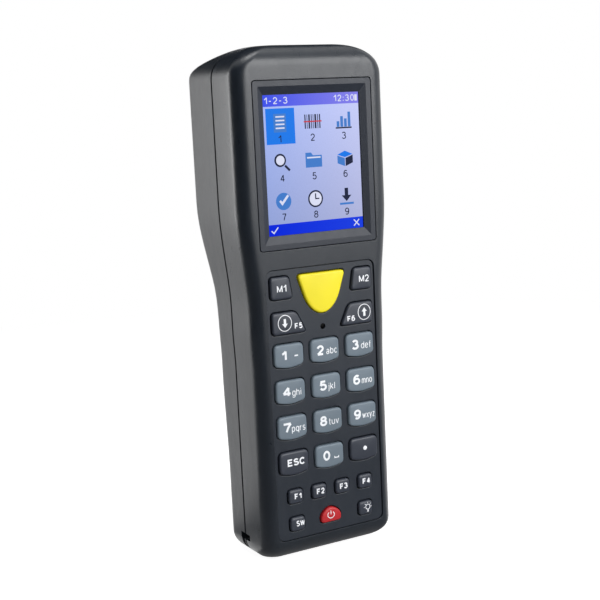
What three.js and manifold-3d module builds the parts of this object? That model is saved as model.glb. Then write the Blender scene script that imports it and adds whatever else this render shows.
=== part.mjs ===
// Handheld barcode data terminal, standing upright on its bottom end.
// Millimetres. X is to the right seen from the front, Y runs from the front
// face into the case, and Z runs up the length. The last group centres it.
import * as THREE from 'three';
import { mergeVertices } from 'three/addons/utils/BufferGeometryUtils.js';
import Module from 'manifold-3d';

const wasm = await Module();
wasm.setup();

// Case, outside
const topBorder = 11.1;
const headSideBorder = 6.4;
const gripSideBorder = 5;
const headDepth = 35.9;
const shoulderRise = 14.5;
const shoulderWidthLength = 40;
const shoulderDepthLength = 59.4;
const shoulderDepthPower = 2;
const gripSwell = 1.25;
const gripSwellReach = 34;
const waistSwell = 0.4;
const waistSwellReach = 14;
const frontEdgeRadius = 5.2;
const rearEdgeRadius = 5;
const topCornerDrop = 9.9;
const topCornerRunIn = 14;
const bottomCornerRadius = 6.2;
const topFrontRounding = 6.2;
const bottomFrontRise = 8;
const bottomFrontRunIn = 10.5;
const bottomRearRounding = 4;
const seamDepth = 15.3;
const topFlatBehindSeam = 1.2;
const topRearSlope = THREE.MathUtils.degToRad(17);
const topRearBlend = 7;

// Walls and clearances
const wall = 2;
const fitGap = 0.3;
const minimumRadius = 0.6;
const arcSteps = 3;

// Screen
const lcdWidth = 34.85;
const lcdHeight = 43.56;
const bezelSideWidth = 3.875;
const bezelEndWidth = 4.32;
const bezelRimWidth = 1.8;
const bridgeHeight = 6.65;
const bezelSlopeDepth = 1;
const bezelSlopeFoot = 0.1;
const bezelBodyDepth = 3;
const bezelCornerRadius = 0.7;
const flangeMargin = 1.2;
const flangeThickness = 1;
const paneMargin = 1.2;
const paneThickness = 1;
const gasketThickness = 0.6;
const gasketBand = 1.2;
const lcdMargin = 2.2;
const lcdThickness = 2.3;
const holderThickness = 0.7;

// Keypad panel and keys
const panelHalfWidth = 19.8;
const panelBottomZ = 7.9;
const panelTopBlock = 27.1;
const panelBottomBlock = 25.91;
const panelRecess = 0.5;
const panelThickness = 1.9;
const panelCornerRadius = 2.4;
const panelPocketMargin = 0.15;
const keyProud = 0.55;
const keyTravel = 0.8;
const keyHoleGap = 0.3;
const keyBevel = 0.75;
const keyBevelDepth = 0.7;
const keyFlange = 0.55;
const keyFlangeThickness = 0.8;
const keyStemRadius = 1.3;
const keyStemLength = 0.5;
const columnPitch = 13.33;
const rowPitch = 11.78;
const numberKeyWidth = 10.7;
const numberKeyHeight = 7;
const numberKeyBulge = 1.1;
const numberKeyTopRadius = 1.9;
const keyCornerRadius = 1.4;
const bulgeRadius = 4.5;
const functionPitch = 8.89;
const functionRowRise = 14.25;
const cornerKeyRise = 4.95;
const cornerKeyInset = 6.7;
const powerKeyX = -0.4;
const powerKeyRise = 5.2;
const smallKeyWidth = 5.4;
const smallKeyHeight = 4.7;
const powerKeyHalfWidth = 3.85;
const powerKeyHeight = 4.4;
const powerKeyCrown = 1.2;
const powerKeySideRadius = 2;
const memoryKeyX = 15.2;
const arrowKeyX = 13.1;
const scanKeyDrop = 8.55;
const scanKeyHalfWidth = 8.9;
const scanKeyTop = 6.6;
const scanKeyTip = 7.4;
const scanKeyWaistHalf = 5.3;
const scanKeyWaistDrop = 4;
const scanKeyTopRadius = 1.8;
const scanKeySideRadius = 4.4;
const scanKeyTipRadius = 3.6;
const memoryKeyDrop = 5.55;
const memoryKeyHalfHeight = 3.6;
const memoryKeyFoot = 4.4;
const memoryKeyHead = 3.2;
const memoryKeyOuter = 3.6;
const arrowKeyDrop = 16.9;
const arrowKeyHalfHeight = 3.55;
const arrowKeyFoot = 6.6;
const arrowKeyHead = 3.2;
const arrowKeyOuter = 5.7;
const arrowKeyHeadRadius = 1.9;
const lensDrop = 19.65;
const lensRadius = 0.8;
const keymatThickness = 1;
const keymatMargin = 1.8;
const domeRadius = 2;
const domeHeight = 0.3;
const domeSheetThickness = 0.3;

// Board and what it carries
const boardThickness = 1.6;
const boardSideMargin = 6.8;
const boardTopMargin = 4.8;
const boardCornerCut = 3;
const boardScrewRadius = 1.6;
const boardScrewInset = 2.1;
const topBoardScrewRise = 3.8;
const screwShankRadius = 0.8;
const screwHeadRadius = 1.6;
const screwHeadHeight = 1.1;

// Case screws
const casePostRadius = 2.1;
const caseShankRadius = 0.9;
const caseHeadRadius = 1.9;
const caseHeadHeight = 1.5;
const caseHeadSink = 1.2;
const caseBoreDepth = 6;
const headScrewInset = 4.6;
const headScrewRise = 8.4;
const gripScrewX = 11.5;
const gripScrewZ = 7;
const postRibHalf = 0.8;

// Scanner at the top end
const scanWindowHalfWidth = 13;
const scanWindowHalfDepth = 4.6;
const scanWindowThickness = 1.4;
const scanWindowMargin = 10.9;
const scanEngineWidth = 21;
const scanEngineDepth = 13;
const scanEngineHeight = 10;
const scanShelfDrop = 21.8;
const scanShelfThickness = 1;
const scanShelfMargin = 4.9;
const scanBracketFoot = 8;
const scanNoseWidth = 14;
const scanNoseDepth = 6;
const scanNoseHeight = 2;

// Battery in the back of the grip
const bayHalfWidth = 16.3;
const bayBottomZ = 25.8;
const bayWall = 1.2;
const bayFloorDepth = 17;
const coverThickness = 1.8;
const coverGripHalfWidth = 6;
const coverGripPitch = 1.6;
const coverGripCount = 4;
const coverGripDepth = 0.5;
const batteryLength = 55;
const batteryDepth = 8.6;
const contactRoom = 2.4;
const contactHeight = 6;
const contactWidth = 18;
const contactDepth = 5;

// Socket in the bottom end
const socketHalfWidth = 4.2;
const socketDepth = 4;
const socketLength = 7.5;
const socketWall = 0.5;
const socketCavity = 5.5;

// Strap pocket behind the skin of the lower left corner
const notchInnerX = -18.2;
const notchTopZ = 8.6;
const notchFrontDepth = 12.2;
const notchRearDepth = 18.4;
const notchWall = 1.1;
const notchSkin = 1.4;
const strapHoleHeight = 3.2;
const strapHoleLength = 3;
const seamSlotWidth = 0.9;
const strapPinRadius = 0.9;
const strapPinX = -20.3;
const strapPinZ = 4.3;
const strapPinSeat = 1.5;

// Electronics on the rear of the board
const radioWidth = 17;
const radioHeight = 22;
const radioDrop = 21.2;
const buzzerDrop = 12.45;
const radioThickness = 2.6;
const buzzerRadius = 5.5;
const buzzerThickness = 4.2;
const roundSegments = 12;

// Places that follow from what the case holds
const bezelHalfWidth = lcdWidth / 2 + bezelSideWidth;
const bezelHalfHeight = lcdHeight / 2 + bezelEndWidth;
const panelTopZ = panelBottomZ + panelBottomBlock + 3 * rowPitch + panelTopBlock;
const topRowZ = panelTopZ - panelTopBlock;
const bezelBottomZ = panelTopZ + bridgeHeight;
const lcdCentreZ = bezelBottomZ + bezelHalfHeight;
const bezelTopZ = lcdCentreZ + bezelHalfHeight;
const caseLength = bezelTopZ + topBorder;
const headHalfWidth = bezelHalfWidth + headSideBorder;
const gripHalfWidth = panelHalfWidth + gripSideBorder;
const gripDepth = bayFloorDepth + batteryDepth + coverThickness + 3 * fitGap;
const shoulderTopZ = bezelBottomZ + shoulderRise;
const shoulderWidthStartZ = shoulderTopZ - shoulderWidthLength;
const shoulderDepthStartZ = shoulderTopZ - shoulderDepthLength;
const gripSwellZ = shoulderDepthStartZ + 2;
const waistSwellZ = shoulderWidthStartZ;
const functionRowZ = panelBottomZ + functionRowRise;
const cornerKeyX = panelHalfWidth - cornerKeyInset;
const cornerKeyZ = panelBottomZ + cornerKeyRise;
const powerKeyZ = panelBottomZ + powerKeyRise;
const scanKeyZ = panelTopZ - scanKeyDrop;
const memoryKeyZ = panelTopZ - memoryKeyDrop;
const arrowKeyZ = panelTopZ - arrowKeyDrop;
const lensZ = panelTopZ - lensDrop;
const boardTopZ = caseLength - boardTopMargin;
const boardHalfWidth = headHalfWidth - boardSideMargin;
const midBoardScrewZ = panelTopZ + bridgeHeight / 2;
const topBoardScrewZ = bezelTopZ + topBoardScrewRise;
const boardScrewX = boardHalfWidth - boardScrewInset;
const headScrewX = headHalfWidth - headScrewInset;
const headScrewZ = lcdCentreZ + headScrewRise;
const scanWindowDepth = headDepth - scanWindowMargin;
const scanShelfZ = caseLength - scanShelfDrop;
const scanShelfEndDepth = headDepth - scanShelfMargin;
const bayTopZ = bayBottomZ + batteryLength + contactHeight + contactRoom + 2 * fitGap;
const radioZ = lcdCentreZ - radioDrop;
const buzzerZ = panelTopZ - buzzerDrop;

// Depths that follow from the stack
const panelRearDepth = panelRecess + panelThickness;
const keyFlangeDepth = panelRearDepth + fitGap;
const keyFlangeRear = keyFlangeDepth + keyFlangeThickness;
const keyStemRear = keyFlangeRear + keyStemLength;
const keymatDepth = keyStemRear + keyTravel + 0.2;
const domeSheetDepth = keymatDepth + keymatThickness + fitGap + domeHeight;
const boardDepth = domeSheetDepth + domeSheetThickness + fitGap;
const boardRearDepth = boardDepth + boardThickness;
const paneDepth = bezelSlopeDepth + fitGap;
const gasketDepth = paneDepth + paneThickness + fitGap;
const lcdDepth = gasketDepth + gasketThickness + fitGap;
const holderDepth = lcdDepth + lcdThickness + fitGap;
const flangeDepth = wall + fitGap;

// Solids and booleans

function toSolid(geometry) {
  const bare = geometry.clone();
  bare.deleteAttribute('normal');
  bare.deleteAttribute('uv');
  const merged = mergeVertices(bare, 1e-5);
  return new wasm.Manifold(new wasm.Mesh({
    numProp: 3,
    vertProperties: new Float32Array(merged.attributes.position.array),
    triVerts: new Uint32Array(merged.index.array),
  }));
}

function toGeometry(solid) {
  const mesh = solid.getMesh();
  const geometry = new THREE.BufferGeometry();
  geometry.setAttribute('position', new THREE.BufferAttribute(mesh.vertProperties, 3));
  geometry.setIndex(new THREE.BufferAttribute(mesh.triVerts, 1));
  return geometry;
}

function box(x0, x1, y0, y1, z0, z1) {
  const geometry = new THREE.BoxGeometry(x1 - x0, y1 - y0, z1 - z0);
  geometry.translate((x0 + x1) / 2, (y0 + y1) / 2, (z0 + z1) / 2);
  return toSolid(geometry);
}

function rodAlongY(radius, x, z, y0, y1, segments = roundSegments) {
  const geometry = new THREE.CylinderGeometry(radius, radius, y1 - y0, segments);
  geometry.translate(x, (y0 + y1) / 2, z);
  return toSolid(geometry);
}

// An outline drawn in X and Z, given thickness from depth y0 to depth y1
function plate(outline, y0, y1) {
  const geometry = new THREE.ExtrudeGeometry(new THREE.Shape(outline), {
    depth: y1 - y0,
    bevelEnabled: false,
  });
  geometry.rotateX(Math.PI / 2);
  geometry.translate(0, y1, 0);
  return toSolid(geometry);
}

// Outline from its corners, counterclockwise, each rounded, grown outwards
function roundedOutline(corners, radii, grow = 0) {
  const count = corners.length;
  const grown = corners.map((corner, i) => {
    const before = corners[(i + count - 1) % count];
    const after = corners[(i + 1) % count];
    const into = new THREE.Vector2(corner[0] - before[0], corner[1] - before[1]).normalize();
    const out = new THREE.Vector2(after[0] - corner[0], after[1] - corner[1]).normalize();
    const normalIn = new THREE.Vector2(into.y, -into.x);
    const normalOut = new THREE.Vector2(out.y, -out.x);
    const mitre = normalIn.clone().add(normalOut);
    mitre.multiplyScalar(grow / (1 + normalIn.dot(normalOut)));
    return new THREE.Vector2(corner[0] + mitre.x, corner[1] + mitre.y);
  });
  const points = [];
  grown.forEach((corner, i) => {
    const before = grown[(i + count - 1) % count];
    const after = grown[(i + 1) % count];
    const radius = (Array.isArray(radii) ? radii[i] : radii) + grow;
    const trimIn = Math.min(radius / corner.distanceTo(before), 0.49);
    const trimOut = Math.min(radius / corner.distanceTo(after), 0.49);
    const start = corner.clone().lerp(before, trimIn);
    const end = corner.clone().lerp(after, trimOut);
    points.push(...new THREE.QuadraticBezierCurve(start, corner, end).getPoints(arcSteps));
  });
  return points;
}

function rectangleOutline(x0, x1, z0, z1, radius, grow = 0) {
  return roundedOutline([[x0, z0], [x1, z0], [x1, z1], [x0, z1]], radius, grow);
}

// Closed solid through equal-length rings of points, from the lowest up
function loft(rings) {
  const count = rings[0].length;
  const positions = rings.flat().flatMap((point) => [point.x, point.y, point.z]);
  const index = [];
  for (let ring = 0; ring < rings.length - 1; ring += 1) {
    for (let i = 0; i < count; i += 1) {
      const next = (i + 1) % count;
      const low = ring * count;
      const high = low + count;
      index.push(low + i, low + next, high + next);
      index.push(low + i, high + next, high + i);
    }
  }
  const last = (rings.length - 1) * count;
  for (let i = 1; i < count - 1; i += 1) {
    index.push(0, i + 1, i);
    index.push(last, last + i, last + i + 1);
  }
  const geometry = new THREE.BufferGeometry();
  geometry.setAttribute('position', new THREE.Float32BufferAttribute(positions, 3));
  geometry.setIndex(index);
  return toSolid(geometry);
}

// Case surface

// How far a quarter-round end has drawn in, at a distance from its end face
function endDraw(distance, radius) {
  if (distance >= radius) return 0;
  return radius - Math.sqrt(Math.max(radius ** 2 - (radius - distance) ** 2, 0));
}

function smoothMinimum(a, b, blend) {
  const near = Math.max(blend - Math.abs(a - b), 0);
  return Math.min(a, b) - near ** 2 / (4 * blend);
}

// A gentle swell round a height, 1 at its middle and 0 at its reach
function swell(z, middle, swellReach) {
  const share = Math.min(Math.abs(z - middle) / swellReach, 1);
  return Math.cos((Math.PI / 2) * share) ** 2;
}

function sideHalfWidth(z) {
  const share = THREE.MathUtils.smoothstep(z, shoulderWidthStartZ, shoulderTopZ);
  return THREE.MathUtils.lerp(gripHalfWidth, headHalfWidth, share)
    + waistSwell * swell(z, waistSwellZ, waistSwellReach);
}

function rearDepth(z) {
  const share = THREE.MathUtils.smoothstep(z, shoulderDepthStartZ, shoulderTopZ);
  return THREE.MathUtils.lerp(gripDepth, headDepth, share ** shoulderDepthPower)
    + gripSwell * swell(z, gripSwellZ, gripSwellReach);
}

function slopeDepth(z) {
  return seamDepth + topFlatBehindSeam + (caseLength - z) / Math.tan(topRearSlope);
}

// One level ring of the case, drawn in by an inset
function caseRing(z, inset, segments) {
  const fromBottom = z - inset;
  const fromTop = caseLength - inset - z;
  const halfWidth = sideHalfWidth(z) - inset
    - endDraw(fromBottom, bottomCornerRadius - inset)
    - endDraw(fromTop, topCornerDrop - inset) * topCornerRunIn / topCornerDrop;
  const front = inset
    + endDraw(fromBottom, bottomFrontRise - inset) * bottomFrontRunIn / bottomFrontRise
    + endDraw(fromTop, topFrontRounding - inset);
  const levelRear = rearDepth(z) - inset - endDraw(fromBottom, bottomRearRounding - inset);
  const slopedRear = slopeDepth(z) - inset / Math.sin(topRearSlope);
  const rear = smoothMinimum(levelRear, slopedRear, topRearBlend);
  const room = (rear - front) / 2.05;
  const frontRadius = Math.min(Math.max(frontEdgeRadius - inset, minimumRadius), room);
  const rearRadius = Math.min(Math.max(rearEdgeRadius - inset, minimumRadius), room);
  const corners = [
    [halfWidth - frontRadius, front + frontRadius, frontRadius, -1],
    [halfWidth - rearRadius, rear - rearRadius, rearRadius, 0],
    [rearRadius - halfWidth, rear - rearRadius, rearRadius, 1],
    [frontRadius - halfWidth, front + frontRadius, frontRadius, 2],
  ];
  return corners.flatMap(([x, y, radius, quarters]) => {
    const points = [];
    for (let i = 0; i <= segments; i += 1) {
      const angle = (Math.PI / 2) * (quarters + i / segments);
      points.push(new THREE.Vector3(
        x + radius * Math.cos(angle), y + radius * Math.sin(angle), z));
    }
    return points;
  });
}

// Heights of the rings, close together where an end or the shoulder curves
function ringHeights(inset, endSteps, shoulderSteps) {
  const heights = [];
  const highest = caseLength - inset;
  for (let i = 0; i <= endSteps; i += 1) {
    const share = 1 - Math.cos((Math.PI / 2) * (i / endSteps));
    heights.push(inset + (bottomCornerRadius - inset) * share);
    heights.push(highest - (topCornerDrop - inset) * share);
  }
  const lowest = gripSwellZ - gripSwellReach;
  for (let i = 0; i <= shoulderSteps; i += 1) {
    heights.push(THREE.MathUtils.lerp(lowest, shoulderTopZ, i / shoulderSteps));
  }
  return heights.sort((a, b) => a - b);
}

function caseSolid(inset, cornerSegments, endSteps, shoulderSteps) {
  const heights = ringHeights(inset, endSteps, shoulderSteps);
  return loft(heights.map((z) => caseRing(z, inset, cornerSegments)));
}

const outerSolid = caseSolid(0, 5, 6, 10);
const cavitySolid = caseSolid(wall, 2, 4, 10);
const reach = 2 * caseLength;

const frontHalf = box(-reach, reach, -reach, seamDepth - fitGap / 2, -reach, reach);
const rearHalf = box(-reach, reach, seamDepth + fitGap / 2, reach, -reach, reach);

// Keys

const numberKeyOutline = (grow) => roundedOutline([
  [-numberKeyWidth / 2, -numberKeyHeight / 2],
  [0, -numberKeyHeight / 2 - numberKeyBulge],
  [numberKeyWidth / 2, -numberKeyHeight / 2],
  [numberKeyWidth / 2, numberKeyHeight / 2],
  [-numberKeyWidth / 2, numberKeyHeight / 2],
], [
  keyCornerRadius, bulgeRadius, keyCornerRadius, numberKeyTopRadius, numberKeyTopRadius,
], grow);

const smallKeyOutline = (grow) => rectangleOutline(
  -smallKeyWidth / 2, smallKeyWidth / 2, -smallKeyHeight / 2, smallKeyHeight / 2,
  keyCornerRadius, grow);

const scanKeyOutline = (grow) => roundedOutline([
  [0, -scanKeyTip],
  [scanKeyWaistHalf, -scanKeyWaistDrop],
  [scanKeyHalfWidth, scanKeyTop],
  [-scanKeyHalfWidth, scanKeyTop],
  [-scanKeyWaistHalf, -scanKeyWaistDrop],
], [
  scanKeyTipRadius, scanKeySideRadius, scanKeyTopRadius, scanKeyTopRadius, scanKeySideRadius,
], grow);

const memoryKeyOutline = (grow) => roundedOutline([
  [-memoryKeyFoot, -memoryKeyHalfHeight],
  [memoryKeyOuter, -memoryKeyHalfHeight],
  [memoryKeyOuter, memoryKeyHalfHeight],
  [-memoryKeyHead, memoryKeyHalfHeight],
], keyCornerRadius, grow);

const arrowKeyOutline = (grow) => roundedOutline([
  [-arrowKeyFoot, -arrowKeyHalfHeight],
  [arrowKeyOuter, -arrowKeyHalfHeight],
  [arrowKeyOuter, arrowKeyHalfHeight],
  [-arrowKeyHead, arrowKeyHalfHeight],
], [keyCornerRadius, keyCornerRadius, keyCornerRadius, arrowKeyHeadRadius], grow);

const powerKeyOutline = (grow) => roundedOutline([
  [-powerKeyHalfWidth, -powerKeyHeight / 2],
  [powerKeyHalfWidth, -powerKeyHeight / 2],
  [powerKeyHalfWidth, powerKeyHeight / 2 - powerKeyCrown],
  [0, powerKeyHeight / 2 + powerKeyCrown],
  [-powerKeyHalfWidth, powerKeyHeight / 2 - powerKeyCrown],
], [
  keyCornerRadius, keyCornerRadius, powerKeySideRadius, bulgeRadius, powerKeySideRadius,
], grow);

const numberGrey = 0x66717c;
const keyBlack = 0x34373d;

function keyLayout() {
  const keys = [
    { name: 'key_scan', x: 0, z: scanKeyZ, outline: scanKeyOutline, color: 0xf2e53c },
    { name: 'key_m1', x: -memoryKeyX, z: memoryKeyZ, outline: memoryKeyOutline, mirrored: true },
    { name: 'key_m2', x: memoryKeyX, z: memoryKeyZ, outline: memoryKeyOutline },
    { name: 'key_f5', x: -arrowKeyX, z: arrowKeyZ, outline: arrowKeyOutline, mirrored: true },
    { name: 'key_f6', x: arrowKeyX, z: arrowKeyZ, outline: arrowKeyOutline },
  ];
  for (let digit = 1; digit <= 9; digit += 1) {
    const column = (digit - 1) % 3 - 1;
    const row = Math.floor((digit - 1) / 3);
    keys.push({
      name: `key_${digit}`, x: column * columnPitch, z: topRowZ - row * rowPitch,
      outline: numberKeyOutline, color: numberGrey,
    });
  }
  const bottomRowZ = topRowZ - 3 * rowPitch;
  keys.push({ name: 'key_esc', x: -columnPitch, z: bottomRowZ, outline: numberKeyOutline });
  keys.push({
    name: 'key_0', x: 0, z: bottomRowZ, outline: numberKeyOutline, color: numberGrey,
  });
  keys.push({ name: 'key_dot', x: columnPitch, z: bottomRowZ, outline: numberKeyOutline });
  for (let i = 0; i < 4; i += 1) {
    keys.push({
      name: `key_f${i + 1}`, x: (i - 1.5) * functionPitch, z: functionRowZ,
      outline: smallKeyOutline,
    });
  }
  keys.push({ name: 'key_sw', x: -cornerKeyX, z: cornerKeyZ, outline: smallKeyOutline });
  keys.push({
    name: 'key_power', x: powerKeyX, z: powerKeyZ,
    outline: powerKeyOutline, color: 0xd92a2e,
  });
  keys.push({ name: 'key_light', x: cornerKeyX, z: cornerKeyZ, outline: smallKeyOutline });
  return keys;
}

const keys = keyLayout();

// A key's outline in its place on the panel, grown outwards
function keyOutline(key, grow) {
  const points = key.outline(grow).map((point) => new THREE.Vector2(
    key.x + (key.mirrored ? -point.x : point.x), key.z + point.y));
  return key.mirrored ? points.reverse() : points;
}

const keyPlate = (key, grow, y0, y1) => plate(keyOutline(key, grow), y0, y1);

// The cap, from its foot to its rounded top edge
function keyCap(key) {
  const levels = [
    [keyFlangeRear - keyFlangeThickness / 2, 0],
    [keyBevelDepth - keyProud, 0],
    [keyBevelDepth * 0.3 - keyProud, -keyBevel * 0.3],
    [-keyProud, -keyBevel],
  ];
  return loft(levels.map(([y, grow]) => keyOutline(key, grow).map(
    (point) => new THREE.Vector3(point.x, y, point.y))));
}

function keySolid(key) {
  const cap = keyCap(key);
  const flange = keyPlate(key, keyFlange, keyFlangeDepth, keyFlangeRear);
  const stem = rodAlongY(keyStemRadius, key.x, key.z, keyFlangeDepth, keyStemRear, 8);
  return cap.add(flange).add(stem);
}

// Front shell, with the screen and keypad openings, posts and notch

const panelOutline = (grow) => rectangleOutline(
  -panelHalfWidth, panelHalfWidth, panelBottomZ, panelTopZ, panelCornerRadius, grow);

const bezelOutline = (grow) => rectangleOutline(
  -bezelHalfWidth, bezelHalfWidth, lcdCentreZ - bezelHalfHeight,
  lcdCentreZ + bezelHalfHeight, bezelCornerRadius, grow);

const boardScrews = [
  [-boardScrewX, midBoardScrewZ],
  [boardScrewX, midBoardScrewZ],
  [-boardScrewX, topBoardScrewZ],
  [boardScrewX, topBoardScrewZ],
];

const caseScrews = [
  [-headScrewX, headScrewZ],
  [headScrewX, headScrewZ],
  [-gripScrewX, gripScrewZ],
  [gripScrewX, gripScrewZ],
];

const isGripScrew = (z) => z === gripScrewZ;

// Post for a case screw, with the rib that ties it to the nearest wall
function casePost(x, z, y0, y1, radius) {
  const post = rodAlongY(radius, x, z, y0, y1);
  if (isGripScrew(z)) {
    return post.add(box(x - postRibHalf, x + postRibHalf, y0, y1, wall / 2, z));
  }
  const wallX = Math.sign(x) * (headHalfWidth - wall / 2);
  return post.add(box(
    Math.min(x, wallX), Math.max(x, wallX), y0, y1, z - postRibHalf, z + postRibHalf));
}

function notchPocket() {
  return box(
    -reach, notchInnerX + notchWall,
    notchFrontDepth - notchWall, notchRearDepth + notchWall, -reach, notchTopZ + notchWall,
  ).intersect(outerSolid);
}

// The pocket, its two mouths and the widened seam between them
function notchHollow() {
  const pocket = box(-reach, notchInnerX, notchFrontDepth, notchRearDepth, -reach, notchTopZ)
    .intersect(caseSolid(notchSkin, 2, 3, 4));
  const sideMouth = box(
    -reach, strapPinX - strapPinRadius, notchFrontDepth, notchRearDepth,
    notchTopZ - strapHoleHeight, notchTopZ);
  const endMouth = box(
    notchInnerX - strapHoleLength, notchInnerX, notchFrontDepth, notchRearDepth,
    -reach, strapPinZ - strapPinRadius);
  const slot = box(
    -reach, notchInnerX, seamDepth - seamSlotWidth / 2, seamDepth + seamSlotWidth / 2,
    -reach, notchTopZ);
  return pocket.add(sideMouth).add(endMouth).add(slot);
}

const strapPinHole = rodAlongY(
  strapPinRadius + fitGap, strapPinX, strapPinZ,
  notchFrontDepth - strapPinSeat, notchRearDepth + strapPinSeat);

const socketHole = box(
  -socketHalfWidth - fitGap, socketHalfWidth + fitGap,
  boardRearDepth, boardRearDepth + socketDepth + 2 * fitGap, -reach, wall + 1);

function caseShell() {
  const pinSeats = rodAlongY(
    strapPinRadius + notchWall + fitGap, strapPinX, strapPinZ,
    notchFrontDepth - strapPinSeat - notchWall, notchRearDepth + strapPinSeat + notchWall,
  ).intersect(outerSolid);
  return outerSolid.subtract(cavitySolid)
    .add(notchPocket())
    .add(pinSeats)
    .subtract(notchHollow())
    .subtract(strapPinHole)
    .subtract(socketHole);
}

const shell = caseShell();

function frontCase() {
  let solid = shell.intersect(frontHalf);
  for (const [x, z] of caseScrews) {
    const start = flangeDepth + flangeThickness + fitGap;
    solid = solid.add(casePost(x, z, start, seamDepth - fitGap / 2, casePostRadius));
  }
  for (const [x, z] of boardScrews) {
    solid = solid.add(rodAlongY(boardScrewRadius, x, z, wall / 2, boardDepth - fitGap));
  }
  solid = solid.intersect(outerSolid);
  for (const [x, z] of caseScrews) {
    const bore = caseShankRadius + fitGap;
    solid = solid.subtract(
      rodAlongY(bore, x, z, seamDepth - caseBoreDepth, seamDepth + 1, 8));
  }
  for (const [x, z] of boardScrews) {
    solid = solid.subtract(
      rodAlongY(screwShankRadius + fitGap / 2, x, z, wall + 1, boardDepth, 8));
  }
  const flangeRoom = plate(
    panelOutline(flangeMargin + fitGap), wall, flangeDepth + flangeThickness + fitGap);
  return solid
    .subtract(plate(bezelOutline(fitGap), -1, wall + 1))
    .subtract(plate(panelOutline(fitGap), -1, wall + 1))
    .subtract(flangeRoom);
}

// Rear shell, with the battery bay, screw pillars and scanner opening

function bayTray() {
  return box(
    -bayHalfWidth - bayWall, bayHalfWidth + bayWall, bayFloorDepth - bayWall, reach,
    bayBottomZ - bayWall, bayTopZ + bayWall).intersect(outerSolid);
}

function scanFrame(solid) {
  const z = caseLength - (scanWindowDepth - seamDepth - topFlatBehindSeam) * Math.tan(topRearSlope);
  return solid
    .rotate([-THREE.MathUtils.radToDeg(topRearSlope), 0, 0])
    .translate([0, scanWindowDepth, z]);
}

function scanWindowSolid(grow, z0, z1) {
  const outline = rectangleOutline(
    -scanWindowHalfWidth, scanWindowHalfWidth, -scanWindowHalfDepth, scanWindowHalfDepth,
    2, grow);
  const geometry = new THREE.ExtrudeGeometry(new THREE.Shape(outline), {
    depth: z1 - z0,
    bevelEnabled: false,
  });
  geometry.translate(0, 0, z0);
  return scanFrame(toSolid(geometry));
}

function rearCase() {
  let solid = shell.intersect(rearHalf).add(bayTray());
  for (const [x, z] of caseScrews) {
    const bore = caseHeadRadius + fitGap;
    const pillar = casePost(x, z, seamDepth + fitGap / 2, reach, bore + wall / 2);
    solid = solid.add(pillar.intersect(outerSolid));
    const outside = rearDepth(z);
    const ledge = outside - caseHeadSink - caseHeadHeight - fitGap;
    solid = solid.subtract(rodAlongY(bore, x, z, ledge, reach));
    solid = solid.subtract(rodAlongY(caseShankRadius + fitGap, x, z, 0, reach, 8));
  }
  return solid
    .subtract(box(-bayHalfWidth, bayHalfWidth, bayFloorDepth, reach, bayBottomZ, bayTopZ))
    .subtract(scanWindowSolid(fitGap, -scanWindowThickness - wall * 2, wall * 2));
}

function batteryCover() {
  const skin = outerSolid.subtract(caseSolid(coverThickness, 2, 3, 10));
  let solid = skin.intersect(box(
    -bayHalfWidth + fitGap, bayHalfWidth - fitGap, bayFloorDepth + coverThickness, reach,
    bayBottomZ + fitGap, bayTopZ - fitGap));
  for (let i = 0; i < coverGripCount; i += 1) {
    const z = bayTopZ - 6 - i * coverGripPitch;
    const floor = rearDepth(z) - coverGripDepth;
    solid = solid.subtract(box(
      -coverGripHalfWidth, coverGripHalfWidth, floor, reach,
      z - coverGripPitch / 4, z + coverGripPitch / 4));
  }
  return solid;
}

// Screen stack

function screenBezel() {
  const flange = plate(
    bezelOutline(flangeMargin), flangeDepth, flangeDepth + flangeThickness);
  const body = plate(bezelOutline(0), 0, bezelBodyDepth);
  const rimX = bezelHalfWidth - bezelRimWidth;
  const rimZ = bezelHalfHeight - bezelRimWidth;
  const footX = lcdWidth / 2 + bezelSlopeFoot;
  const footZ = lcdHeight / 2 + bezelSlopeFoot;
  const ring = (halfX, halfZ, y) => [
    new THREE.Vector3(-halfX, y, lcdCentreZ - halfZ),
    new THREE.Vector3(-halfX, y, lcdCentreZ + halfZ),
    new THREE.Vector3(halfX, y, lcdCentreZ + halfZ),
    new THREE.Vector3(halfX, y, lcdCentreZ - halfZ),
  ];
  const slopeHole = loft([
    ring(rimX, rimZ, -1), ring(rimX, rimZ, 0),
    ring(footX, footZ, bezelSlopeDepth), ring(footX, footZ, bezelBodyDepth + 1)]);
  const pocketX = footX + paneMargin + fitGap;
  const pocketZ = footZ + paneMargin + fitGap;
  const pocket = box(
    -pocketX, pocketX, bezelSlopeDepth, reach,
    lcdCentreZ - pocketZ, lcdCentreZ + pocketZ);
  return body.add(flange).subtract(slopeHole).subtract(pocket);
}

function screenPlate(margin, y0, y1) {
  const halfX = lcdWidth / 2 + margin;
  const halfZ = lcdHeight / 2 + margin;
  return box(-halfX, halfX, y0, y1, lcdCentreZ - halfZ, lcdCentreZ + halfZ);
}

const displayWindow = () => screenPlate(
  bezelSlopeFoot + paneMargin, paneDepth, paneDepth + paneThickness);

const displayGasket = () => screenPlate(
  gasketBand, gasketDepth, gasketDepth + gasketThickness,
).subtract(screenPlate(0, 0, reach));

const lcdModule = () => screenPlate(lcdMargin, lcdDepth, lcdDepth + lcdThickness);

const lcdHolder = () => screenPlate(lcdMargin, holderDepth, holderDepth + holderThickness)
  .subtract(screenPlate(-lcdMargin * 2, 0, reach));

// Keypad stack

function keypadPanel() {
  let solid = plate(panelOutline(0), panelRecess, panelRearDepth + fitGap)
    .add(plate(panelOutline(flangeMargin), flangeDepth, flangeDepth + flangeThickness))
    .subtract(plate(panelOutline(-panelPocketMargin), panelRearDepth, reach));
  for (const key of keys) {
    solid = solid.subtract(keyPlate(key, keyHoleGap, -1, reach));
  }
  return solid.subtract(rodAlongY(lensRadius + fitGap / 2, 0, lensZ, -1, reach, 10));
}

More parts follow.
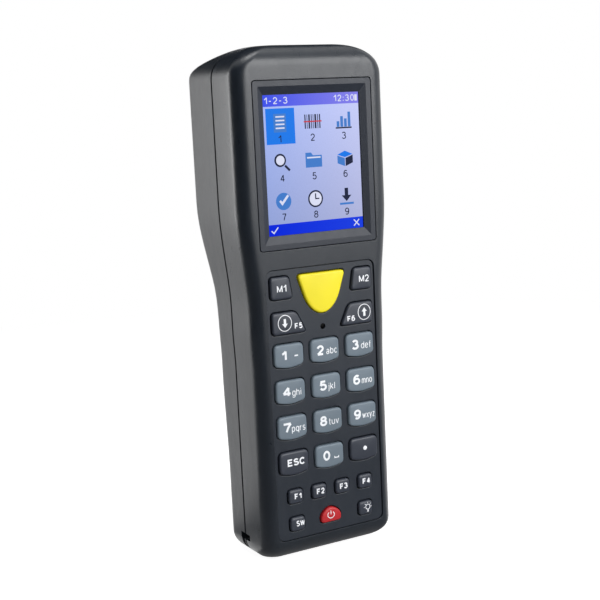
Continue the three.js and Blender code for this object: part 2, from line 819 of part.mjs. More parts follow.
function statusLens() {
  return rodAlongY(lensRadius, 0, lensZ, panelRecess + 0.2, keymatDepth - fitGap, 10)
    .add(rodAlongY(2 * lensRadius, 0, lensZ, keyFlangeDepth, keyFlangeRear, 10));
}

const keymat = () => plate(
  panelOutline(-keymatMargin), keymatDepth, keymatDepth + keymatThickness);

function domeSheet() {
  const rear = domeSheetDepth + domeSheetThickness;
  let solid = plate(panelOutline(-keymatMargin), domeSheetDepth, rear);
  for (const key of keys) {
    solid = solid.add(rodAlongY(
      domeRadius, key.x, key.z, domeSheetDepth - domeHeight, rear, 8));
  }
  return solid;
}

// Board and electronics

function mainBoard() {
  const bottomZ = panelBottomZ + keymatMargin + fitGap;
  const outline = roundedOutline([
    [-boardHalfWidth, bottomZ], [boardHalfWidth, bottomZ],
    [boardHalfWidth, boardTopZ - boardCornerCut],
    [boardHalfWidth - boardCornerCut, boardTopZ],
    [boardCornerCut - boardHalfWidth, boardTopZ],
    [-boardHalfWidth, boardTopZ - boardCornerCut],
  ], 0.5);
  let solid = plate(outline, boardDepth, boardRearDepth);
  for (const [x, z] of boardScrews) {
    solid = solid.subtract(rodAlongY(screwShankRadius + fitGap, x, z, 0, reach, 8));
  }
  return solid;
}

function boardScrew(x, z) {
  const headStart = boardRearDepth + fitGap;
  return rodAlongY(screwHeadRadius, x, z, headStart, headStart + screwHeadHeight)
    .add(rodAlongY(screwShankRadius, x, z, boardDepth - 3, headStart + 0.2, 8));
}

function caseScrew(x, z) {
  const headEnd = rearDepth(z) - caseHeadSink;
  const head = rodAlongY(caseHeadRadius, x, z, headEnd - caseHeadHeight, headEnd)
    .subtract(box(
      x - caseHeadRadius / 2, x + caseHeadRadius / 2, headEnd - 0.7, reach, z - 0.3, z + 0.3))
    .subtract(box(
      x - 0.3, x + 0.3, headEnd - 0.7, reach, z - caseHeadRadius / 2, z + caseHeadRadius / 2));
  const tip = seamDepth - caseBoreDepth + fitGap;
  return head.add(rodAlongY(caseShankRadius, x, z, tip, headEnd - caseHeadHeight + 0.2, 8));
}

const radioModule = () => box(
  -radioWidth / 2, radioWidth / 2, boardRearDepth + fitGap,
  boardRearDepth + fitGap + radioThickness, radioZ - radioHeight / 2, radioZ + radioHeight / 2);

const buzzer = () => rodAlongY(
  buzzerRadius, 0, buzzerZ, boardRearDepth + fitGap, boardRearDepth + fitGap + buzzerThickness, 16,
).subtract(rodAlongY(1, 0, buzzerZ, boardRearDepth + buzzerThickness - 1, reach, 8));

function usbSocket() {
  const y0 = boardRearDepth + fitGap;
  const y1 = y0 + socketDepth;
  const z0 = fitGap;
  const tongueHalf = socketHalfWidth - 2 * socketWall;
  const middle = (y0 + y1) / 2;
  return box(-socketHalfWidth, socketHalfWidth, y0, y1, z0, z0 + socketLength + wall)
    .subtract(box(
      -socketHalfWidth + socketWall, socketHalfWidth - socketWall, y0 + socketWall,
      y1 - socketWall, -1, z0 + socketCavity))
    .add(box(-tongueHalf, tongueHalf, middle - 0.4, middle + 0.4, z0 + 1, z0 + socketCavity + 1));
}

// Scanner

function scanBracket() {
  const foot = boardRearDepth + fitGap;
  const halfWidth = scanEngineWidth / 2 + 1;
  return box(
    -halfWidth, halfWidth, foot, foot + scanShelfThickness,
    scanShelfZ - scanBracketFoot, scanShelfZ + scanEngineHeight)
    .add(box(
      -halfWidth, halfWidth, foot, scanShelfEndDepth, scanShelfZ,
      scanShelfZ + scanShelfThickness));
}

function scanEngine() {
  const floor = scanShelfZ + scanShelfThickness + fitGap;
  const y0 = scanWindowDepth - scanEngineDepth / 2;
  const block = box(
    -scanEngineWidth / 2, scanEngineWidth / 2, y0, y0 + scanEngineDepth, floor,
    floor + scanEngineHeight);
  const nose = box(
    -scanNoseWidth / 2, scanNoseWidth / 2, scanWindowDepth - scanNoseDepth / 2,
    scanWindowDepth + scanNoseDepth / 2, floor, floor + scanEngineHeight + scanNoseHeight);
  return block.add(nose);
}

// Battery

const battery = () => box(
  -bayHalfWidth + 2 * fitGap, bayHalfWidth - 2 * fitGap,
  bayFloorDepth + fitGap, bayFloorDepth + fitGap + batteryDepth,
  bayBottomZ + fitGap, bayBottomZ + fitGap + batteryLength);

function batteryContacts() {
  const z0 = bayBottomZ + batteryLength + 2 * fitGap;
  const y0 = bayFloorDepth + fitGap;
  return box(-contactWidth / 2, contactWidth / 2, y0, y0 + contactDepth, z0, z0 + contactHeight)
    .subtract(box(-5.5, -3.5, y0 + 1, reach, z0 - 1, z0 + 2))
    .subtract(box(-1, 1, y0 + 1, reach, z0 - 1, z0 + 2))
    .subtract(box(3.5, 5.5, y0 + 1, reach, z0 - 1, z0 + 2));
}

const strapPin = () => rodAlongY(
  strapPinRadius, strapPinX, strapPinZ,
  notchFrontDepth - strapPinSeat + fitGap, notchRearDepth + strapPinSeat - fitGap);

// Assembly

const terminal = new THREE.Group();

function addPart(name, solid, color, roughness, metalness = 0) {
  const material = new THREE.MeshStandardMaterial({ color, roughness, metalness });
  const mesh = new THREE.Mesh(toGeometry(solid), material);
  mesh.name = name;
  terminal.add(mesh);
}

addPart('front_case', frontCase(), 0x3d4045, 0.55);
addPart('rear_case', rearCase(), 0x3f4346, 0.6);
addPart('screen_bezel', screenBezel(), 0x3a3d42, 0.5);
addPart('display_window', displayWindow(), 0xb4c4f4, 0.1);
addPart('display_gasket', displayGasket(), 0x151515, 0.9);
addPart('lcd_module', lcdModule(), 0xb9c4f2, 0.35);
addPart('lcd_holder', lcdHolder(), 0xdddddd, 0.6);
addPart('keypad_panel', keypadPanel(), 0x2b2d31, 0.55);
addPart('status_lens', statusLens(), 0x0b0b0d, 0.15);
for (const key of keys) {
  addPart(key.name, keySolid(key), key.color ?? keyBlack, 0.55);
}
addPart('keymat', keymat(), 0x9a9a9a, 0.8);
addPart('dome_sheet', domeSheet(), 0xc8c8c0, 0.4, 0.6);
addPart('main_board', mainBoard(), 0x1f6b3a, 0.5);
boardScrews.forEach(([x, z], i) => {
  addPart(`board_screw_${i + 1}`, boardScrew(x, z), 0xb8b8bc, 0.35, 1);
});
addPart('radio_module', radioModule(), 0xc4c6c8, 0.35, 0.9);
addPart('buzzer', buzzer(), 0x161616, 0.6);
addPart('usb_socket', usbSocket(), 0xc4c6c8, 0.3, 1);
addPart('scan_bracket', scanBracket(), 0xa9acb0, 0.4, 1);
addPart('scan_engine', scanEngine(), 0x202124, 0.6);
addPart('scan_window', scanWindowSolid(0, -scanWindowThickness, 0), 0x5a1216, 0.1);
addPart('battery', battery(), 0x2f5da8, 0.5);
addPart('battery_contacts', batteryContacts(), 0x1c1c1c, 0.6);
addPart('battery_cover', batteryCover(), 0x3f4346, 0.6);
addPart('strap_pin', strapPin(), 0xa7a9ab, 0.35, 1);
caseScrews.forEach(([x, z], i) => {
  addPart(`case_screw_${i + 1}`, caseScrew(x, z), 0x2a2a2c, 0.4, 1);
});

terminal.position.y = -(headDepth - keyProud) / 2;

const model = new THREE.Group();
model.add(terminal);

export default model;
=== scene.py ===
import math
from collections import namedtuple
from contextlib import contextmanager
from functools import partial

import bmesh
import bpy
from mathutils import Matrix, Vector
from mathutils.bvhtree import BVHTree


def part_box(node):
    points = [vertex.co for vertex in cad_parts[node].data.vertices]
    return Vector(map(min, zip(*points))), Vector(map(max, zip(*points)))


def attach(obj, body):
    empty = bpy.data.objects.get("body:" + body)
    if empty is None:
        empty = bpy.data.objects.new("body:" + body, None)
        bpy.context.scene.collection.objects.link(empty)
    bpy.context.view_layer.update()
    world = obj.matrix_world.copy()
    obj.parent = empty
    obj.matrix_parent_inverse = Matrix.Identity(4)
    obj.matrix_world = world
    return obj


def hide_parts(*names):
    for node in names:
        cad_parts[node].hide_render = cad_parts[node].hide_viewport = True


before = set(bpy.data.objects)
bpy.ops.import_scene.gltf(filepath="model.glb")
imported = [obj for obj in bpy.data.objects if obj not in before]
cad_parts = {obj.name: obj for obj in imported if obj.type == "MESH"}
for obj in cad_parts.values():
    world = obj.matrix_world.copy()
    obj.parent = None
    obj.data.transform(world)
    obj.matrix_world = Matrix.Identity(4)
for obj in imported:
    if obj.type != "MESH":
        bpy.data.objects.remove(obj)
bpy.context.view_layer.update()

# Millimetres in the device: X right, depth from the front face into the case,
# Z up from the bottom end. The frame gives the box of each piece.
MM = 0.001
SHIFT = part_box("front_case")[0].y / MM


def device_box(node):
    """A node's box as x0, x1, depth0, depth1, z0, z1."""
    low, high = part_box(node)
    return (low.x / MM, high.x / MM, low.y / MM - SHIFT, high.y / MM - SHIFT,
            low.z / MM, high.z / MM)


# Case: the solids' own sizes and formulas, but the front edge, the bulge of the
# sides, the seam and the strap's openings have sizes of their own here
_, HEAD_HALF_WIDTH, _, _, _, CASE_LENGTH = device_box("front_case")
HEAD_DEPTH = device_box("rear_case")[3]
GRIP_HALF_WIDTH = 24.8
GRIP_DEPTH = 28.3
BEZEL_HALF_WIDTH = 21.3
BEZEL_HALF_HEIGHT = 26.1
PANEL_HALF_WIDTH = 19.8
PANEL_TOP_Z = 96.25
PANEL_BOTTOM_Z = 7.9
LCD_CENTRE_Z = sum(device_box("lcd_module")[4:]) / 2
LCD_WIDTH = 34.85
LCD_HEIGHT = 43.56
SHOULDER_TOP_Z = LCD_CENTRE_Z - BEZEL_HALF_HEIGHT + 14.5
SHOULDER_WIDTH_START_Z = SHOULDER_TOP_Z - 40
SHOULDER_DEPTH_START_Z = SHOULDER_TOP_Z - 59.4
SHOULDER_DEPTH_POWER = 2
GRIP_SWELL = 1.25
GRIP_SWELL_Z = SHOULDER_DEPTH_START_Z + 2
GRIP_SWELL_REACH = 34
WAIST_SWELL = 0.4
WAIST_SWELL_Z = SHOULDER_WIDTH_START_Z
WAIST_SWELL_REACH = 14
FRONT_EDGE_RADIUS = 4.8
REAR_EDGE_RADIUS = 5
TOP_CORNER_DROP = 9.9
TOP_CORNER_RUN_IN = 14
BOTTOM_CORNER_RADIUS = 6.2
TOP_FRONT_ROUNDING = 6.2
BOTTOM_FRONT_RISE = 8
BOTTOM_FRONT_RUN_IN = 10.5
BOTTOM_REAR_ROUNDING = 4
SEAM_DEPTH = 15.3
SEAM_GAP = 0.55
SIDE_BULGE = 0.45
SIDE_STEPS = 5
SIDE_MARGIN = 0.05
SEAM_CHAMFER = 0.18
TOP_FLAT_BEHIND_SEAM = 1.2
TOP_REAR_SLOPE = math.radians(17)
TOP_REAR_BLEND = 7
WALL = 2
FIT_GAP = 0.3
MINIMUM_RADIUS = 0.6
EDGE_ROOM = 2.05
RING_PITCH = 6
RING_ROOM = 8
SHARP_ANGLE = math.radians(32)
HAIR = 0.001
MERGE_DISTANCE = 1e-7
IN_FRONT = -1
BEHIND = 2 * HEAD_DEPTH
REACH = 400


def lerp(a, b, share):
    return a + (b - a) * share


def smoothstep(x, low, high):
    share = min(max((x - low) / (high - low), 0), 1)
    return share * share * (3 - 2 * share)


def end_draw(distance, radius):
    """How far a quarter-round end has drawn in, at a distance from its end face."""
    if distance >= radius:
        return 0
    return radius - math.sqrt(max(radius ** 2 - (radius - distance) ** 2, 0))


def smooth_minimum(a, b, blend):
    near = max(blend - abs(a - b), 0)
    return min(a, b) - near ** 2 / (4 * blend)


def swell(z, middle, reach):
    """A gentle swell round a height, 1 at its middle and 0 at its reach."""
    return math.cos(math.pi / 2 * min(abs(z - middle) / reach, 1)) ** 2


def side_half_width(z):
    share = smoothstep(z, SHOULDER_WIDTH_START_Z, SHOULDER_TOP_Z)
    width = lerp(GRIP_HALF_WIDTH, HEAD_HALF_WIDTH, share)
    return width + WAIST_SWELL * swell(z, WAIST_SWELL_Z, WAIST_SWELL_REACH)


def rear_depth(z):
    share = smoothstep(z, SHOULDER_DEPTH_START_Z, SHOULDER_TOP_Z)
    depth = lerp(GRIP_DEPTH, HEAD_DEPTH, share ** SHOULDER_DEPTH_POWER)
    return depth + GRIP_SWELL * swell(z, GRIP_SWELL_Z, GRIP_SWELL_REACH)


def slope_depth(z):
    return SEAM_DEPTH + TOP_FLAT_BEHIND_SEAM + (CASE_LENGTH - z) / math.tan(TOP_REAR_SLOPE)


def quarter(x, depth, radius, start, segments):
    """A quarter round about a centre, from a start counted in quarter turns."""
    angles = [math.pi / 2 * (start + i / segments) for i in range(segments + 1)]
    return [(x + radius * math.cos(angle), depth + radius * math.sin(angle)) for angle in angles]


def case_ring(z, inset, segments):
    """One level ring of the case, drawn in by an inset, as (x, depth, z)."""
    from_bottom = z - inset
    from_top = CASE_LENGTH - inset - z
    half_width = (side_half_width(z) - inset
                  - end_draw(from_bottom, BOTTOM_CORNER_RADIUS - inset)
                  - end_draw(from_top, TOP_CORNER_DROP - inset) * TOP_CORNER_RUN_IN / TOP_CORNER_DROP)
    run_in = BOTTOM_FRONT_RUN_IN / BOTTOM_FRONT_RISE
    front = (inset + end_draw(from_bottom, BOTTOM_FRONT_RISE - inset) * run_in
             + end_draw(from_top, TOP_FRONT_ROUNDING - inset))
    level_rear = rear_depth(z) - inset - end_draw(from_bottom, BOTTOM_REAR_ROUNDING - inset)
    sloped_rear = slope_depth(z) - inset / math.sin(TOP_REAR_SLOPE)
    rear = smooth_minimum(level_rear, sloped_rear, TOP_REAR_BLEND)
    room = (rear - front) / EDGE_ROOM
    front_radius = min(max(FRONT_EDGE_RADIUS - inset, MINIMUM_RADIUS), room)
    rear_radius = min(max(REAR_EDGE_RADIUS - inset, MINIMUM_RADIUS), room)
    side_start = front + front_radius
    side_end = min(SEAM_DEPTH, rear - rear_radius - SIDE_MARGIN)
    half = quarter(half_width - front_radius, front + front_radius, front_radius, -1, segments)
    half += [(half_width, lerp(side_start, side_end, (i + 1) / SIDE_STEPS))
             for i in range(SIDE_STEPS)]
    half += quarter(half_width - rear_radius, rear - rear_radius, rear_radius, 0, segments)
    if not inset:
        half = [(x - SIDE_BULGE * max(1 - depth / SEAM_DEPTH, 0) ** 2, depth) for x, depth in half]
    return [(x, depth, z) for x, depth in half] + [(-x, depth, z) for x, depth in reversed(half)]


def ring_heights(inset, end_steps, shoulder_steps):
    """Heights of the rings, close together where an end or the shoulder curves."""
    heights = []
    highest = CASE_LENGTH - inset
    for i in range(end_steps + 1):
        share = 1 - math.cos(math.pi / 2 * i / end_steps)
        heights.append(inset + (BOTTOM_FRONT_RISE - inset) * share)
        heights.append(highest - (TOP_CORNER_DROP - inset) * share)
    lowest = GRIP_SWELL_Z - GRIP_SWELL_REACH
    for i in range(shoulder_steps + 1):
        heights.append(lerp(lowest, SHOULDER_TOP_Z, i / shoulder_steps))
    above = SHOULDER_TOP_Z
    while above + RING_ROOM < highest - TOP_CORNER_DROP:
        above += RING_PITCH
        heights.append(above)
    return sorted(heights)


# Meshes and booleans


def make_object(name, mesh):
    piece = bpy.data.objects.new(name, mesh)
    bpy.context.scene.collection.objects.link(piece)
    return piece


@contextmanager
def bmesh_of(*meshes):
    """The meshes as one bmesh, written back to the first of them at the end."""
    work = bmesh.new()
    for mesh in meshes:
        work.from_mesh(mesh)
    yield work
    work.to_mesh(meshes[0])
    work.free()


def from_points(name, points, faces):
    """An object from device millimetres, with its faces turned outwards."""
    mesh = bpy.data.meshes.new(name)
    placed = [(x * MM, (y + SHIFT) * MM, z * MM) for x, y, z in points]
    mesh.from_pydata(placed, [], faces)
    with bmesh_of(mesh) as work:
        bmesh.ops.remove_doubles(work, verts=work.verts, dist=MERGE_DISTANCE)
        bmesh.ops.recalc_face_normals(work, faces=work.faces)
    return make_object(name, mesh)


def loft(name, rings, closed=False):
    """A solid through rings of as many points, with two end faces or closed on itself."""
    count = len(rings[0])
    points = [point for ring in rings for point in ring]
    faces = [] if closed else [tuple(range(count)), tuple(range(len(points) - count, len(points)))]
    for level in range(len(rings) if closed else len(rings) - 1):
        low = level * count
        high = (low + count) % len(points)
        for i in range(count):
            step = (i + 1) % count
            faces.append((low + i, low + step, high + step, high + i))
    return from_points(name, points, faces)


def prism(name, levels):
    """A solid through (depth, outline) levels, each outline of X and Z with as many points."""
    return loft(name, [[(x, depth, z) for x, z in outline] for depth, outline in levels])


def slab(name, outline, depth0, depth1):
    return prism(name, [(depth0, outline), (depth1, outline)])


def rectangle(x0, z0, x1, z1):
    return [(x0, z0), (x1, z0), (x1, z1), (x0, z1)]


def ellipse(x, z, radius_x, radius_z, steps):
    return [(x + radius_x * math.cos(math.tau * i / steps),
             z + radius_z * math.sin(math.tau * i / steps)) for i in range(steps)]


def circle(x, z, radius, steps):
    return ellipse(x, z, radius, radius, steps)


def box(name, x0, x1, depth0, depth1, z0, z1):
    return slab(name, rectangle(x0, z0, x1, z1), depth0, depth1)


def rod(name, radius, x, z, depth0, depth1, steps=32, foot_radius=None):
    """A rod along the depth axis, or a cone with a foot radius at its first depth."""
    return prism(name, [(depth0, circle(x, z, foot_radius or radius, steps)),
                        (depth1, circle(x, z, radius, steps))])


def bake(piece):
    """The piece's mesh becomes what its modifiers make."""
    graph = bpy.context.evaluated_depsgraph_get()
    mesh = bpy.data.meshes.new_from_object(piece.evaluated_get(graph))
    piece.modifiers.clear()
    piece.data = mesh
    return piece


def combine(operation, piece, *tools):
    """Cuts, adds or keeps what is shared with each tool in turn, and deletes the tools."""
    for tool in tools:
        modifier = piece.modifiers.new("combine", "BOOLEAN")
        modifier.operation = operation
        modifier.solver = "MANIFOLD"
        modifier.object = tool
    bake(piece)
    for tool in tools:
        bpy.data.objects.remove(tool)
    return piece


cut = partial(combine, "DIFFERENCE")
add = partial(combine, "UNION")
keep = partial(combine, "INTERSECT")


def copy_of(piece):
    return make_object(piece.name, piece.data.copy())


def polish(piece):
    """Smooth shading, sharp where faces meet at more than the sharp angle."""
    mesh = piece.data
    work = bmesh.new()
    work.from_mesh(mesh)
    bmesh.ops.dissolve_degenerate(work, edges=work.edges, dist=MERGE_DISTANCE)
    if all(len(edge.link_faces) == 2 for edge in work.edges):
        work.to_mesh(mesh)
    work.free()
    mesh.shade_smooth()
    mesh.set_sharp_from_angle(angle=SHARP_ANGLE)
    weights = piece.modifiers.new("weights", "WEIGHTED_NORMAL")
    weights.keep_sharp = True
    return bake(piece)


# Outlines drawn in X and Z


def rounded_outline(corners, radii, grow=0.0, steps=8):
    """An outline from its corners, each rounded, grown outwards."""
    count = len(corners)
    if len(radii) == 1:
        radii = radii * count
    grown = []
    for i, corner in enumerate(corners):
        here = Vector(corner)
        into = (here - Vector(corners[i - 1])).normalized()
        out = (Vector(corners[(i + 1) % count]) - here).normalized()
        normal_in = Vector((into.y, -into.x))
        normal_out = Vector((out.y, -out.x))
        mitre = (normal_in + normal_out) * (grow / (1 + normal_in.dot(normal_out)))
        grown.append(here + mitre)
    points = []
    for i, corner in enumerate(grown):
        before = grown[i - 1]
        after = grown[(i + 1) % count]
        radius = max(radii[i] + grow, 0.05)
        start = corner.lerp(before, min(radius / (corner - before).length, 0.49))
        end = corner.lerp(after, min(radius / (corner - after).length, 0.49))
        for k in range(steps + 1):
            t = k / steps
            points.append(start * (1 - t) ** 2 + corner * (2 * t * (1 - t)) + end * t ** 2)
    return points


def rounded_rectangle(half_x, z0, z1, radius, grow=0.0, steps=8):
    return rounded_outline(rectangle(-half_x, z0, half_x, z1), [radius], grow, steps)


def quarter_round(steps):
    """The sines and cosines of a quarter turn in equal steps."""
    angles = [math.pi / 2 * i / steps for i in range(steps + 1)]
    return [(math.sin(angle), math.cos(angle)) for angle in angles]


def flared(name, outline_of, flare):
    """A cutter through the wall from in front of it that rounds the opening's edge."""
    levels = [(IN_FRONT, outline_of(FIT_GAP + flare))]
    levels += [(flare * (1 - cosine) - HAIR, outline_of(FIT_GAP + flare * (1 - sine)))
               for sine, cosine in quarter_round(4)]
    return prism(name, levels + [(WALL + 1, outline_of(FIT_GAP))])


# Case shells

SCREEN_FLANGE = 1.2
FLANGE_DEPTH = WALL + FIT_GAP
FLANGE_THICKNESS = 1
FLANGE_ROOM = 1.5
FLANGE_ROOM_DEPTH = 3.6
POST_RADIUS = 2.1
SCREW_HEAD_RADIUS = 1.9
SCREW_HEAD_HEIGHT = 1.5
SCREW_SINK = 1.2
SCREW_RIM = 0.6
SCREW_HOLE_RADIUS = 1.2
SCREW_SHANK_RADIUS = 0.9
SCREW_TIP_DEPTH = SEAM_DEPTH - 5.7
BAY_HALF_WIDTH = 16.3
BAY_BOTTOM_Z = 25.8
BAY_TOP_Z = 89.8
BAY_WALL = 1.2
BAY_FLOOR_DEPTH = 17
BAY_CORNER = 1.2
BEZEL_CORNER = 0.9
PANEL_CORNER = 2.4
COVER_THICKNESS = 1.8
GROOVE_COUNT = 4
GROOVE_PITCH = 1.6
GROOVE_START = 6
GROOVE_HALF_WIDTH = 6
NOTCH_INNER_X = -18.2
NOTCH_TOP_Z = 7.7
NOTCH_DEPTHS = (12.2, 18.4)
NOTCH_WALL = 1.1
NOTCH_SKIN = 1.4
STRAP_HOLE_HEIGHT = 2.1
STRAP_HOLE_LENGTH = 3
SLOT_DEPTHS = (16.1, 18.2)
STRAP_PIN_RADIUS = 0.9
STRAP_PIN_X = -20.3
STRAP_PIN_Z = 4.3
STRAP_PIN_SEAT = 1.5
TONGUE_INSET = 1.05
TONGUE_REACH = 0.9
TONGUE_ROOM = 0.15
SCAN_DEPTH = HEAD_DEPTH - 10.9
SCAN_HALF_WIDTH = 13
SCAN_HALF_DEPTH = 4.6
SCAN_THICKNESS = 1.4

CASE_SCREWS = []
for number in range(1, 5):
    x0, x1, _, _, z0, z1 = device_box(f"case_screw_{number}")
    CASE_SCREWS.append(((x0 + x1) / 2, (z0 + z1) / 2))


def case_solid(inset, corner_segments=8, end_steps=12, shoulder_steps=16):
    heights = ring_heights(inset, end_steps, shoulder_steps)
    return loft("case", [case_ring(z, inset, corner_segments) for z in heights])


bezel_outline = partial(rounded_rectangle, BEZEL_HALF_WIDTH, LCD_CENTRE_Z - BEZEL_HALF_HEIGHT,
                        LCD_CENTRE_Z + BEZEL_HALF_HEIGHT, BEZEL_CORNER)
panel_outline = partial(rounded_rectangle, PANEL_HALF_WIDTH, PANEL_BOTTOM_Z, PANEL_TOP_Z,
                        PANEL_CORNER)
bay_outline = partial(rounded_rectangle, BAY_HALF_WIDTH, BAY_BOTTOM_Z, BAY_TOP_Z, BAY_CORNER)


def band(depth0, depth1):
    """A block through the whole case between two depths."""
    return box("band", -REACH, REACH, depth0, depth1, -REACH, REACH)


def strap_rod(name, grow, reach):
    """A rod on the strap bar's axis, grown, and reaching past the pocket's depths."""
    return rod(name, STRAP_PIN_RADIUS + grow, STRAP_PIN_X, STRAP_PIN_Z,
               NOTCH_DEPTHS[0] - reach, NOTCH_DEPTHS[1] + reach)


def strap_hollow():
    """The pocket behind the corner skin, its two mouths and the wider seam between them."""
    pocket = box("pocket", -REACH, NOTCH_INNER_X, *NOTCH_DEPTHS, -REACH, NOTCH_TOP_Z)
    keep(pocket, case_solid(NOTCH_SKIN, 6, 6, 6))
    side = box("side", -REACH, STRAP_PIN_X - STRAP_PIN_RADIUS, *NOTCH_DEPTHS,
               NOTCH_TOP_Z - STRAP_HOLE_HEIGHT, NOTCH_TOP_Z)
    end = box("end", NOTCH_INNER_X - STRAP_HOLE_LENGTH, NOTCH_INNER_X, *NOTCH_DEPTHS,
              -REACH, STRAP_PIN_Z - STRAP_PIN_RADIUS)
    slot = box("slot", -REACH, NOTCH_INNER_X, *SLOT_DEPTHS, -REACH, NOTCH_TOP_Z)
    return add(pocket, side, end, slot, strap_rod("pin", FIT_GAP, STRAP_PIN_SEAT))


def socket_hole():
    _, x1, depth0, depth1, _, _ = device_box("usb_socket")
    half_x = x1 + FIT_GAP
    return box("socket_hole", -half_x, half_x, depth0 - FIT_GAP, depth1 + FIT_GAP, -REACH, WALL + 1)


def case_shell():
    """The whole case as one hollow skin, with the strap pocket and the socket's hole."""
    outer = case_solid(0, 14, 18, 26)
    shell = copy_of(outer)
    cut(shell, case_solid(WALL, 5, 8, 10))
    block = box("block", -REACH, NOTCH_INNER_X + NOTCH_WALL, NOTCH_DEPTHS[0] - NOTCH_WALL,
                NOTCH_DEPTHS[1] + NOTCH_WALL, -REACH, NOTCH_TOP_Z + NOTCH_WALL)
    keep(block, copy_of(outer))
    seat = strap_rod("seat", NOTCH_WALL + FIT_GAP, STRAP_PIN_SEAT + NOTCH_WALL)
    keep(seat, copy_of(outer))
    add(shell, block, seat)
    cut(shell, strap_hollow(), socket_hole())
    return outer, shell


def half_of(name, shell, depth0, depth1):
    """The part of the hollow case between two depths, under its own name."""
    piece = copy_of(shell)
    piece.name = name
    return keep(piece, band(depth0, depth1))


def seam_step(depth0, depth1):
    """What the edge of a shell loses beside the seam."""
    return cut(band(depth0, depth1), case_solid(SEAM_CHAMFER))


def seam_tongue(grow, depth0, depth1):
    """The inner half of the wall between two depths, as a ring."""
    ring = keep(case_solid(TONGUE_INSET - grow), band(depth0, depth1))
    return cut(ring, case_solid(WALL, 5, 8, 10), strap_hollow(), socket_hole())


def front_shell(outer, shell):
    edge = SEAM_DEPTH - SEAM_GAP / 2
    piece = half_of("front_shell", shell, -REACH, edge)
    posts = [rod("post", POST_RADIUS, x, z, FLANGE_DEPTH + FLANGE_THICKNESS + FIT_GAP, edge)
             for x, z in CASE_SCREWS]
    add(piece, keep(add(*posts), copy_of(outer)))
    cut(piece, seam_step(edge - SEAM_CHAMFER, edge + 1))
    add(piece, seam_tongue(0, edge - WALL, edge + SEAM_GAP + TONGUE_REACH))
    return cut(piece, flared("screen_hole", bezel_outline, 0.15),
               flared("panel_hole", panel_outline, 0.2),
               slab("flange_room", panel_outline(FLANGE_ROOM), WALL, FLANGE_ROOM_DEPTH))


def scan_plate(name, grow, levels):
    """A plate lying in the sloped top end, from its (height, extra growth) levels."""
    top = CASE_LENGTH - (SCAN_DEPTH - SEAM_DEPTH - TOP_FLAT_BEHIND_SEAM) * math.tan(TOP_REAR_SLOPE)
    along = math.cos(TOP_REAR_SLOPE)
    down = math.sin(TOP_REAR_SLOPE)
    return loft(name, [[(x, SCAN_DEPTH + y * along + height * down,
                         top - y * down + height * along)
                        for x, y in rounded_rectangle(SCAN_HALF_WIDTH, -SCAN_HALF_DEPTH,
                                                      SCAN_HALF_DEPTH, 2, grow + extra)]
                       for height, extra in levels])


def rear_shell(outer, shell):
    edge = SEAM_DEPTH + SEAM_GAP / 2
    piece = half_of("rear_shell", shell, edge, REACH)
    bore = SCREW_HEAD_RADIUS + FIT_GAP
    tray = slab("tray", bay_outline(BAY_WALL), BAY_FLOOR_DEPTH - BAY_WALL, BEHIND)
    posts = [rod("post", bore + WALL / 2, x, z, edge, BEHIND) for x, z in CASE_SCREWS]
    add(piece, keep(add(tray, *posts), copy_of(outer)))
    holes = [seam_step(edge - 1, edge + SEAM_CHAMFER),
             seam_tongue(TONGUE_ROOM, edge - 1, edge + TONGUE_REACH + TONGUE_ROOM),
             slab("bay", bay_outline(0), BAY_FLOOR_DEPTH, BEHIND),
             scan_plate("scan_hole", FIT_GAP, [(-6, 0), (-0.35, 0), (0.1, 0.45), (6, 0.45)])]
    for x, z in CASE_SCREWS:
        surface = rear_depth(z)
        ledge = surface - SCREW_SINK - SCREW_HEAD_HEIGHT - FIT_GAP
        holes.append(rod("bore", bore, x, z, ledge, BEHIND))
        holes.append(rod("rim", bore + SCREW_RIM, x, z, surface - SCREW_RIM / 2,
                         surface + SCREW_RIM / 2, foot_radius=bore))
        holes.append(rod("shank", SCREW_HOLE_RADIUS, x, z, 0, BEHIND, 16))
    return cut(piece, *holes)


def battery_door(outer):
    """The battery cover: a plate with the case's own curve and finger grooves."""
    piece = copy_of(outer)
    piece.name = "battery_door"
    cut(piece, case_solid(COVER_THICKNESS, 8, 8, 20))
    keep(piece, slab("edge", bay_outline(-FIT_GAP), BAY_FLOOR_DEPTH + COVER_THICKNESS, BEHIND))
    grooves = []
    for i in range(GROOVE_COUNT):
        z = BAY_TOP_Z - GROOVE_START - i * GROOVE_PITCH
        section = ellipse(rear_depth(z) + 0.25, z, 0.7, 0.55, 12)
        grooves.append(loft("groove", [[(x, depth, height) for depth, height in section]
                                       for x in (-GROOVE_HALF_WIDTH, GROOVE_HALF_WIDTH)]))
    return cut(piece, *grooves)


# Screen frame, keypad panel and keys

BEZEL_RIM_WIDTH = 1.8
BEZEL_SLOPE_DEPTH = 1
BEZEL_SLOPE_FOOT = 0.1
BEZEL_BODY_DEPTH = 3
BEZEL_EDGE = 0.15
PANE_DEPTH = BEZEL_SLOPE_DEPTH + FIT_GAP
PANE_THICKNESS = 1
PANE_MARGIN = 1.2
PANE_HALF_X = LCD_WIDTH / 2 + BEZEL_SLOPE_FOOT + PANE_MARGIN
PANE_HALF_Z = LCD_HEIGHT / 2 + BEZEL_SLOPE_FOOT + PANE_MARGIN
PANEL_RECESS = 0.5
PANEL_REAR_DEPTH = 2.4
PANEL_FLANGE = 1.2
SNUG = 0.12
KEY_PROUD = 0.55
SIGN_ROOM = 0.05
KEY_HOLE_GAP = 0.3
KEY_BEVEL = 0.75
KEY_BEVEL_DEPTH = 0.7
KEY_FLANGE = 0.55
KEY_FLANGE_DEPTH = PANEL_REAR_DEPTH + FIT_GAP
KEY_FLANGE_REAR = KEY_FLANGE_DEPTH + 0.8
KEY_CROWN = 0.12
KEY_STEM_RADIUS = 1.3
KEY_PITCH_X = 13.33
KEY_PITCH_Z = 11.78
